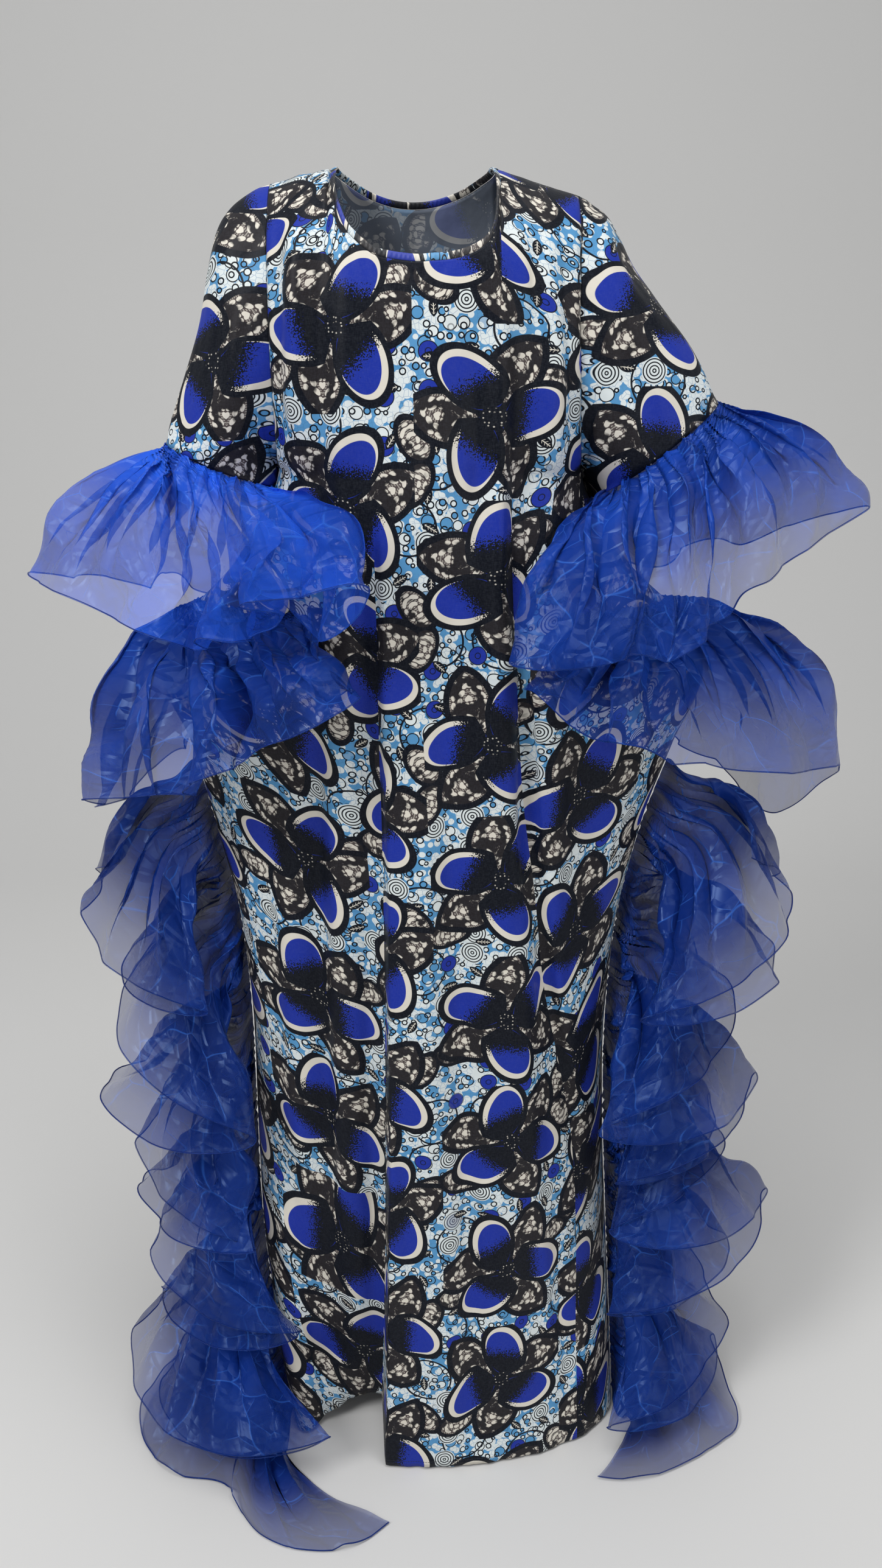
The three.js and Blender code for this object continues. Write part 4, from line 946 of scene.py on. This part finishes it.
# ---- shader nodes
class Field:
    """A number that varies over a surface, made of math nodes in the material's tree."""
    tree = None

    def __init__(self, socket):
        self.socket = socket

    def __add__(self, other):
        return math_node("ADD", self, other)

    def __sub__(self, other):
        return math_node("SUBTRACT", self, other)

    def __mul__(self, other):
        return math_node("MULTIPLY", self, other)

    def __truediv__(self, number):
        return self * (1 / number)

    def under(self, edge, soft=0.5):
        """1 where the number is less than edge, 0 where it is more."""
        if isinstance(edge, Field):
            return math_node("ADD", (edge - self) / soft, 0.5, clamp=True)
        return math_node("MULTIPLY_ADD", self, -1 / soft, edge / soft + 0.5, clamp=True)

    def over(self, edge, soft=0.5):
        return math_node("MULTIPLY_ADD", self, 1 / soft, 0.5 - edge / soft, clamp=True)

    def within(self, low, high, soft=0.5):
        return self.over(low, soft) * self.under(high, soft)


def feed(node, inputs):
    """Links inputs of a node to fields and sockets, or sets them to numbers and colours."""
    for place, value in inputs.items():
        target, value = node.inputs[place], getattr(value, "socket", value)
        if isinstance(value, bpy.types.NodeSocket):
            Field.tree.links.new(value, target)
        else:
            target.default_value = (*value, 1) if isinstance(value, tuple) else value


def add_node(kind, inputs, **settings):
    node = Field.tree.nodes.new("ShaderNode" + kind)
    for name, value in settings.items():
        setattr(node, name, value)
    feed(node, inputs)
    return node


def math_node(operation, *values, clamp=False):
    node = add_node("Math", dict(enumerate(values)), operation=operation, use_clamp=clamp)
    return Field(node.outputs[0])


both, either, least = (partial(math_node, name) for name in ("MULTIPLY", "MAXIMUM", "MINIMUM"))
floor, fract, absolute = (partial(math_node, name) for name in ("FLOOR", "FRACT", "ABSOLUTE"))


def inverse(a):
    return math_node("SUBTRACT", 1.0, a)


def length(x, y):
    return math_node("SQRT", x * x + y * y)


def vector(x, y, z=0.0):
    return add_node("CombineXYZ", {0: x, 1: y, 2: z}).outputs[0]


def split(socket):
    return [Field(part) for part in add_node("SeparateXYZ", {0: socket}).outputs]


def random_of(x, y, salt):
    """Three random numbers for each whole x and y."""
    node = add_node("TexWhiteNoise", {"Vector": vector(x, y, salt)}, noise_dimensions="3D")
    return split(node.outputs["Color"])


def cloud(x, y, scale, detail=2.0, salt=0.0, roughness=0.5):
    """Soft noise from 0 to 1 with bumps about 1 / scale wide."""
    inputs = {"Scale": scale, "Detail": detail, "Roughness": roughness, "Vector": vector(x, y, salt)}
    return Field(add_node("TexNoise", inputs, noise_dimensions="3D").outputs[0])


def cells(x, y, spacing, randomness, salt, feature):
    """A node of scattered cells, and the way from each place to their feature."""
    inputs = {"Scale": 1 / spacing, "Randomness": randomness, "Vector": vector(x + salt, y + salt)}
    node = add_node("TexVoronoi", inputs, voronoi_dimensions="2D", feature=feature)
    return node, Field(node.outputs["Distance"]) * spacing


def spots(x, y, spacing, randomness, salt):
    """The way to the nearest scattered point, and three random numbers of that point."""
    node, away = cells(x, y, spacing, randomness, salt, "F1")
    return away, split(node.outputs["Color"])


def cracks(x, y, spacing, randomness, salt):
    """The way to the nearest line between scattered cells."""
    return cells(x, y, spacing, randomness, salt, "DISTANCE_TO_EDGE")[1]


def lattice(x, y, wide, high, salt, drop=0.0):
    """Places from the middle of each cell of a lattice, and three random numbers of the
    cell. Each column of cells lies the share drop of a cell further than the one before."""
    column = floor(x / wide)
    level = y / high + column * drop
    draws = random_of(column, floor(level), salt)
    return (fract(x / wide) - 0.5) * wide, (fract(level) - 0.5) * high, draws


def turned(x, y, angle):
    """x and y in axes turned by an angle, in radians."""
    c, s = math_node("COSINE", angle), math_node("SINE", angle)
    return x * c + y * s, y * c - x * s


def ellipse(x, y, rx, ry):
    """About how far outside an ellipse a place is; less than 0 inside."""
    return (length(x / rx, y / ry) - 1.0) * ((rx + ry) / 2)


def lens(x, y, gap, bow):
    """How far outside a leaf a place is. The leaf lies between two arcs of the radius bow."""
    return either(length(x, y - gap), length(x, y + gap)) - bow


def paint(colour, *coats):
    """A colour under coats, each given as its own colour and the share of it that shows."""
    for coat, share in coats:
        node = add_node("Mix", {"Factor": share}, data_type="RGBA")
        names = [socket.type for socket in node.inputs]
        base = names.index("RGBA")
        feed(node, {base: colour, base + 1: coat})
        colour = [socket for socket in node.outputs if socket.type == "RGBA"][0]
    return colour


# ---- the print
INK = (0.0022, 0.0036, 0.008)
ROYAL = (0.010, 0.028, 0.30)
CREAM = (0.66, 0.62, 0.54)
WHITE = (0.65, 0.70, 0.70)
SKY = (0.085, 0.27, 0.50)
SKY_DEEP = (0.055, 0.18, 0.36)
NET = (0.016, 0.014, 0.016)
NET_PALE = (0.070, 0.054, 0.052)

FULL_TURN = 6.283                       # of the random turns
THIRD = 2 * math.pi / 3                 # from one petal to the next
MOTIF_WIDE, MOTIF_HIGH = 152, 160       # the half-drop lattice of the blossoms
OUTLINE = 6.0                           # the heavy black line round every large motif
LEAF_AWAY, LEAF_LEAN = 45.0, 0.34       # a blossom's leaves: place and lean of their middle
LEAF_LONG, LEAF_WIDE = 38.0, 21.5       # and half their size
PETAL_AWAY, PETAL_LEAN = 40.0, -0.42
PETAL_SIZE, PETAL_INNER = (35.0, 22.5), (32.2, 19.2)
SPRIG_PLACE = (MOTIF_WIDE * 0.5, MOTIF_HIGH * 0.27)
SPRIG_AWAY, SPRIG_LEAN, SPRIG_SIZE = 20.0, 0.55, (21.0, 13.0)
NET_ROW, NET_CELL, NET_TOOTH = 7.0, 7.8, 2.2
MARK_CELL = (37.0, 43.0)                # the lattice of the small black leaves
TARGET_RING = 3.15                      # from one ring of a target to the next
# The ground's rings: spacing, least and largest radius, line, place in the noise.
BUBBLES = [(21.0, 4.6, 6.6, 1.1, 170.0), (11.5, 1.7, 3.5, 1.4, 50.0)]


def netted(colour, x, y, edge, mask, salt):
    """Fills a leaf with rows of pale cells in a dark net. edge is less than 0 inside."""
    rows = edge / NET_ROW + cloud(x, y, 0.05, 1.0, salt + 5) * 0.35
    across = absolute(fract(rows) - 0.5)
    wobble = cloud(x, y, 0.07, 1.0, salt) * 0.9
    along = absolute(fract(x / NET_CELL + floor(rows) * 0.37 + wobble) - 0.5)
    light = cloud(x, y, 0.055, 2.0, salt + 3)
    cell = both(length(across * 1.2, along).under(0.43, 0.07), light.over(0.43, 0.05))
    teeth = both(across.within(0.38, 0.47, 0.04), fract(x / NET_TOOTH).under(0.5, 0.4))
    body = paint(NET, (NET_PALE, light.within(0.46, 0.62, 0.06)), (CREAM, cell),
                 (CREAM, both(teeth, light.over(0.46, 0.05)) * 0.7))
    return paint(colour, (body, mask))


def bubbles(colour, x, y, free):
    """Black rings of uneven size, the cloth white or blue inside them."""
    for spacing, least_radius, most_radius, line, salt in BUBBLES:
        away, chance = spots(x, y, spacing, 0.8, salt)
        size = chance[0] * (most_radius - least_radius) + least_radius
        shown = both(free, chance[1].over(0.14, 0.02))
        inside = both(away.under(size), shown)
        colour = paint(colour, (WHITE, both(inside, chance[2].over(0.62, 0.02))),
                       (SKY, both(inside, chance[2].under(0.30, 0.02))),
                       (INK, both(absolute(away - size).under(line / 2, 0.3), shown)))
    return colour


def ground_colour(x, y):
    """Crackled white and light blue, with rings, targets, discs and small leaves."""
    blobs, _ = spots(x, y, 9.0, 1.0, 11.0)
    flow = cloud(x, y, 0.030, 2.0, 3.0)
    veins = cracks(x, y, 5.2, 1.0, 15.0).under(0.22, 0.3)
    colour = paint(SKY, (WHITE, blobs.under(flow * -11.5 + 10.1, 0.5)),
                   (SKY_DEEP, both(veins, flow.within(0.34, 0.58, 0.05)) * 0.55))

    wide, _ = spots(x, y, 92.0, 0.7, 400.0)
    middle, kind = spots(x, y, 41.0, 0.62, 900.0)
    target = kind[0].under(0.40, 0.01)
    disc = both(inverse(target), inverse(kind[0].over(0.68, 0.01)))
    free = inverse(either(both(target, middle.under(13.4)), both(disc, middle.under(9.8))))
    colour = bubbles(colour, x, y, free)
    rings = absolute(fract(middle / TARGET_RING) - 0.5).under(0.2, 0.12)
    colour = paint(colour, (INK, wide.within(26.0, 28.0)), (WHITE, both(middle.under(12.6), target)),
                   (INK, both(both(rings, middle.under(12.8)), target)),
                   (INK, both(disc, middle.under(9.6))), (ROYAL, both(disc, middle.under(8.6))),
                   (INK, both(disc, middle.within(2.4, 3.3))))
    return leaf_marks(colour, x, y)


def leaf_marks(colour, x, y):
    """Small black leaves with a pale vein, scattered between the rings."""
    lx, ly, draws = lattice(x, y, *MARK_CELL, 31.0)
    lx, ly = lx + (draws[0] - 0.5) * 16.0, ly + (draws[1] - 0.5) * 18.0
    lx, ly = turned(lx, ly, draws[2] * FULL_TURN)
    leaf = lens(lx, ly, 7.0, 11.5)
    vein = either(absolute(ly) - 0.3, absolute(lx) - 6.5)
    barb = fract((lx + absolute(ly) * 0.9) / 3.2).under(0.16, 0.1)
    barb = both(barb, absolute(ly).under(2.3, 0.3))
    shown = draws[0].over(0.3, 0.01)
    pale = both(either(vein.under(0.1, 0.4), barb), leaf.under(-1.6))
    return paint(colour, (INK, both(leaf.under(0.0), shown)), (CREAM, both(pale, shown)))


def blossoms(colour, x, y):
    """Pinwheels of three blue petals and three netted leaves on a half-drop lattice."""
    lx, ly, draws = lattice(x, y, MOTIF_WIDE, MOTIF_HIGH, 4.0, 0.5)
    lx, ly = lx + (draws[0] - 0.5) * 10.0, ly + (draws[1] - 0.5) * 12.0
    lx, ly = turned(lx, ly, draws[2] * FULL_TURN)
    ly = ly * (draws[2].over(0.5, 0.01) * 2.0 - 1.0)
    r = length(lx, ly)
    angle = math_node("ARCTAN2", ly, lx)

    def folded(offset, away, lean):
        """Places about the middle of the nearest of three petals or leaves."""
        share = (angle + offset) / THIRD
        near = (share - math_node("ROUND", share)) * THIRD
        return turned(r * math_node("COSINE", near) - away, r * math_node("SINE", near), lean)

    leaf_x, leaf_y = folded(THIRD / 2, LEAF_AWAY, LEAF_LEAN)
    bow = (LEAF_LONG**2 + LEAF_WIDE**2) / (2 * LEAF_WIDE)
    edge = lens(leaf_x, leaf_y, bow - LEAF_WIDE, bow)
    colour = paint(colour, (INK, edge.under(OUTLINE)))
    colour = netted(colour, leaf_x, leaf_y, edge, edge.under(-0.5), 21.0)

    px, py = folded(0.0, PETAL_AWAY, PETAL_LEAN)
    petal = ellipse(px, py, *PETAL_SIZE)
    inner = ellipse(px + 3.2, py + 2.8, *PETAL_INNER)
    grain = cloud(x, y, 0.75, 0.0, 17.0)
    deep = (px + 5.0) * 0.036 + (py - 2.0) * 0.022 + (grain - 0.5) * 1.3
    heart = r + cloud(x, y, 0.05, 1.0, 2.0) * 8.0
    dots, _ = spots(x, y, 4.4, 0.5, 70.0)
    return paint(colour, (INK, petal.under(OUTLINE)), (CREAM, petal.under(-0.6)),
                 (ROYAL, inner.under(0.0)), (INK, both(petal.under(0.5), deep.under(0.0, 0.16))),
                 (INK, heart.under(15.0)),
                 (CREAM, both(dots.under(0.75, 0.4), heart.within(9.0, 13.0, 2.0)) * 0.7))


def sprigs(colour, x, y):
    """Small pairs of netted pods between the blossoms."""
    place_x, place_y = SPRIG_PLACE
    lx, ly, draws = lattice(x + place_x, y + place_y, MOTIF_WIDE, MOTIF_HIGH, 9.0, 0.5)
    lx, ly = turned(lx, ly, draws[0] * FULL_TURN)
    ax, ay = turned(absolute(lx) - SPRIG_AWAY, ly, SPRIG_LEAN)
    pod = ellipse(ax, ay, *SPRIG_SIZE)
    colour = paint(colour, (INK, pod.under(OUTLINE - 1.4)))
    return netted(colour, ax, ay, pod, pod.under(-0.6), 41.0)


def wax_print(x, y):
    """The print's colour at a place on the cloth."""
    return blossoms(sprigs(ground_colour(x, y), x, y), x, y)


# ---- materials
HEM_STITCH, STITCH_HALF = 7.0, 0.45     # the line of stitches above the hem
STITCH_STEP = 3.0
COTTON_WEAVE, ORGANZA_WEAVE = 0.9, 0.7  # from one thread to the next
COTTON_LIGHT = (0.30, 0.33, 0.40)       # of the threads that catch the light
FADED, FADED_SHARE = (0.34, 0.39, 0.48), 0.52   # the print's wrong side
STITCH = (0.02, 0.022, 0.03)

# Organza, each colour on its thin and on its dense side, and its painted shade where it lies in
# layers.
ORGANZA = (0.009, 0.058, 0.45), (0.016, 0.100, 0.68)
ORGANZA_LAYERED_SHADE = (0.004, 0.019, 0.15), (0.007, 0.034, 0.24)
# A pale blue, painted as a highlight along the creases.
ORGANZA_CREASE_HIGHLIGHT = (0.06, 0.24, 0.90)
ORGANZA_HEM = (0.006, 0.020, 0.15)
ROLL_SHOWN = 2.4                        # height of the rolled hem
PRESSED, FINE = 62.0, 23.0              # from one pressed crease to the next


def uv_place(name):
    """The two numbers of a UV map."""
    return split(add_node("UVMap", {}, uv_map=name).outputs["UV"])[:2]


def cloth_place():
    """Places on the cloth as it was cut, in millimetres."""
    x, y = uv_place("cloth")
    return x * 1000.0, y * 1000.0


def start_material(name):
    material = bpy.data.materials.new(name)
    material.use_nodes = True
    Field.tree = material.node_tree
    return material, material.node_tree.nodes["Principled BSDF"]


def bump(height, strength, distance):
    inputs = {"Strength": strength, "Distance": distance, "Height": height}
    return add_node("Bump", inputs).outputs["Normal"]


def weave_height(x, y, pitch):
    """The little ridges of crossing threads."""
    turn = 2 * math.pi / pitch
    return math_node("SINE", x * turn) * math_node("SINE", y * turn)


def cotton_material(name, faded):
    material, shader = start_material(name)
    x, y = cloth_place()
    to_hem, to_side = uv_place("second")
    thread = cloud(x * 0.25, y, 1.1, 1.0, 12.0) * 0.5 + cloud(x, y * 0.25, 1.1, 1.0, 13.0) * 0.5
    stitch = both(to_hem.within(HEM_STITCH - STITCH_HALF, HEM_STITCH + STITCH_HALF, 0.3),
                  fract(x / STITCH_STEP).under(0.66, 0.1))
    colour = wax_print(x, y)
    if faded:
        colour = paint(colour, (FADED, FADED_SHARE))
    # The dark ink line within a millimetre of the sides is a painted seam shadow.
    colour = paint(colour, (COTTON_LIGHT, thread.over(0.56, 0.3) * 0.035), (STITCH, stitch * 0.85),
                   (INK, to_side.under(1.0, 1.0) * 0.8))
    height = cloud(x, y, 0.035, 3.0, 14.0, 0.6) * 2.6 + weave_height(x, y, COTTON_WEAVE) * 0.05
    height = height + least(to_side * 0.2, 0.8) + least(absolute(to_hem - HEM_STITCH) * 0.5, 0.7)
    feed(shader, {"Base Color": colour, "Roughness": thread * 0.24 + (0.52 if faded else 0.33),
                  "Specular IOR Level": 0.10 if faded else 0.12, "Sheen Weight": 0.03,
                  "Sheen Roughness": 0.4, "Normal": bump(height, 0.36, 0.001)})
    return material


def binding_material():
    material, shader = start_material("print_binding")
    x, y = cloth_place()
    feed(shader, {"Base Color": wax_print(x, y), "Roughness": 0.5, "Sheen Weight": 0.08,
                  "Normal": bump(weave_height(x, y, COTTON_WEAVE), 0.2, 0.0002)})
    return material


def organza_material():
    """Sheer crisp cloth: denser in its gathers and at its rolled hem, with a painted highlight on
    its creases.
    """
    material, shader = start_material("organza")
    x, y = cloth_place()
    dense, deep = uv_place("second")
    hem = y.under(ROLL_SHOWN, 0.5)
    drift = (cloud(x, y, 0.02, 1.0, 4.0) - 0.5) * 30.0
    pressed = cracks(x + drift, y * 0.8 - drift, PRESSED, 0.9, 9.0)
    fine = cracks(x - drift, y + drift, FINE, 1.0, 19.0)
    broken = cloud(x, y, 0.03, 2.0, 5.0)
    # The creases are denser and get a painted highlight in a paler blue.
    crease_and_highlight = either(pressed.under(0.6, 1.1) * broken.over(0.46, 0.14) * 0.5,
                    fine.under(0.3, 0.6) * broken.over(0.55, 0.1) * 0.4)
    soft = cloud(x, y * 0.5, 0.014, 1.0, 2.0)
    threads = weave_height(x, y, ORGANZA_WEAVE) * 0.04
    alpha = dense * 0.48 + 0.49 + (soft - 0.5) * 0.16 + crease_and_highlight * 0.12 + threads
    clouded = soft.over(0.5, 0.3)
    thin, layered_shade = (paint(one, (other, clouded)) for one, other in (ORGANZA, ORGANZA_LAYERED_SHADE))
    # Painted shade: the darker colour, by each strip's share of it in deep.
    colour = paint(thin, (layered_shade, deep), (ORGANZA_CREASE_HIGHLIGHT, crease_and_highlight * 0.7), (ORGANZA_HEM, hem))
    height = least(pressed * 0.05, 0.6) + least(fine * 0.05, 0.25)
    feed(shader, {"Base Color": colour, "Alpha": least(either(alpha, hem * 0.97), 1.0),
                  "Roughness": 0.3, "Specular IOR Level": 0.32, "Specular Tint": (0.40, 0.60, 1.0),
                  "Sheen Weight": 0.1, "Sheen Roughness": 0.3, "Sheen Tint": (0.08, 0.30, 1.0),
                  "Normal": bump(height, 0.9, 0.004)})
    return material


print_cotton = cotton_material("print_cotton", False)
print_inside = cotton_material("print_inside", True)
print_binding = binding_material()
organza = organza_material()

# Sleeves: piece, CAD node, form, side, seed, places of back and front on the printed cloth.
SLEEVES = [
    ("sleeve_cloth_left", "sleeve_left", sleeve_left, -1, 3, ((2000, 300), (2700, 90))),
    ("sleeve_cloth_right", "sleeve_right", sleeve_right, 1, 7, ((3900, 560), (4700, 40))),
]
# Tiers: piece, CAD node, gathered edge, hem, size of the mesh, seed.
TIERS = [
    ("cuff_organza_left", "cuff_ruffle_left", partial(cuff_top, sleeve_left),
     CUFF_HEM_LEFT, CUFF_MESH, 101),
    ("cuff_organza_right", "cuff_ruffle_right", partial(cuff_top, sleeve_right),
     CUFF_HEM_RIGHT, CUFF_MESH, 131),
    ("lower_organza_left", "lower_ruffle_left", partial(lower_top, LOWER_TOP_LEFT, -1),
     LOWER_HEM_LEFT, LOWER_MESH, 161),
    ("lower_organza_right", "lower_ruffle_right", partial(lower_top, LOWER_TOP_RIGHT, 1),
     LOWER_HEM_RIGHT, LOWER_MESH, 191),
]
# Side ruffles: piece, CAD node, folds, side, seed.
CASCADES = [
    ("side_organza_left", "side_ruffle_left", SIDE_FOLDS_LEFT, -1, 221),
    ("side_organza_right", "side_ruffle_right", SIDE_FOLDS_RIGHT, 1, 251),
]

make_panels()
for sleeve in SLEEVES:
    make_sleeve(*sleeve)
make_binding()
for tier in TIERS:
    make_tier(*tier)
for cascade in CASCADES:
    make_side_ruffle(*cascade)


# ---- stage and light
STAGE_REACH = 6.0             # metres, to each side and to the front
STAGE_HEIGHT = 3.2
STAGE_COLOUR = (0.66, 0.655, 0.645)
SWEEP_START = 1.6             # how far back the floor starts to rise
SWEEP_RADIUS = 1.8
SWEEP_STEPS = 48
LIGHTS = [                    # name, place, size across, power
    ("key", (-2.0, -2.2, 1.9), 1.3, 80),
    ("fill", (2.3, -2.0, 0.2), 2.2, 22),
    ("top", (0.2, -0.75, 2.4), 1.8, 40),
]
LIGHTS_AIM = (0, 0, -0.7)
WORLD_COLOUR, WORLD_STRENGTH = (0.80, 0.81, 0.82), 0.5


def add_stage():
    """A plain floor that sweeps up, in one piece, to a wall well behind the gown."""
    floor_z = FLOOR * MM - 0.001
    profile = [(-STAGE_REACH, floor_z)]
    for turn in np.linspace(0, math.pi / 2, SWEEP_STEPS):
        profile.append((SWEEP_START + SWEEP_RADIUS * math.sin(turn),
                        floor_z + SWEEP_RADIUS * (1 - math.cos(turn))))
    profile.append((SWEEP_START + SWEEP_RADIUS, STAGE_HEIGHT))
    corners = [(x, y, z) for y, z in profile for x in (-STAGE_REACH, STAGE_REACH)]
    faces = [(2 * k, 2 * k + 1, 2 * k + 3, 2 * k + 2) for k in range(len(profile) - 1)]
    mesh = bpy.data.meshes.new("floor")
    mesh.from_pydata(corners, [], faces)
    mesh.polygons.foreach_set("use_smooth", np.ones(len(faces), bool))
    material, shader = start_material("floor")
    feed(shader, {"Base Color": STAGE_COLOUR, "Roughness": 0.6})
    mesh.materials.append(material)
    add_object("floor", mesh)


def add_light(name, place, size, power):
    data = bpy.data.lights.new(name, "AREA")
    data.shape = "DISK"
    data.size = size
    data.energy = power
    light = add_object(name, data)
    light.location = place
    aim = Vector(LIGHTS_AIM) - Vector(place)
    light.rotation_euler = aim.to_track_quat("-Z", "Y").to_euler()


def add_world():
    world = bpy.data.worlds.new("world")
    world.use_nodes = True
    feed(world.node_tree.nodes["Background"], {"Color": WORLD_COLOUR, "Strength": WORLD_STRENGTH})
    bpy.context.scene.world = world
    bpy.context.scene.view_settings.view_transform = "Standard"


add_stage()
for light in LIGHTS:
    add_light(*light)
add_world()
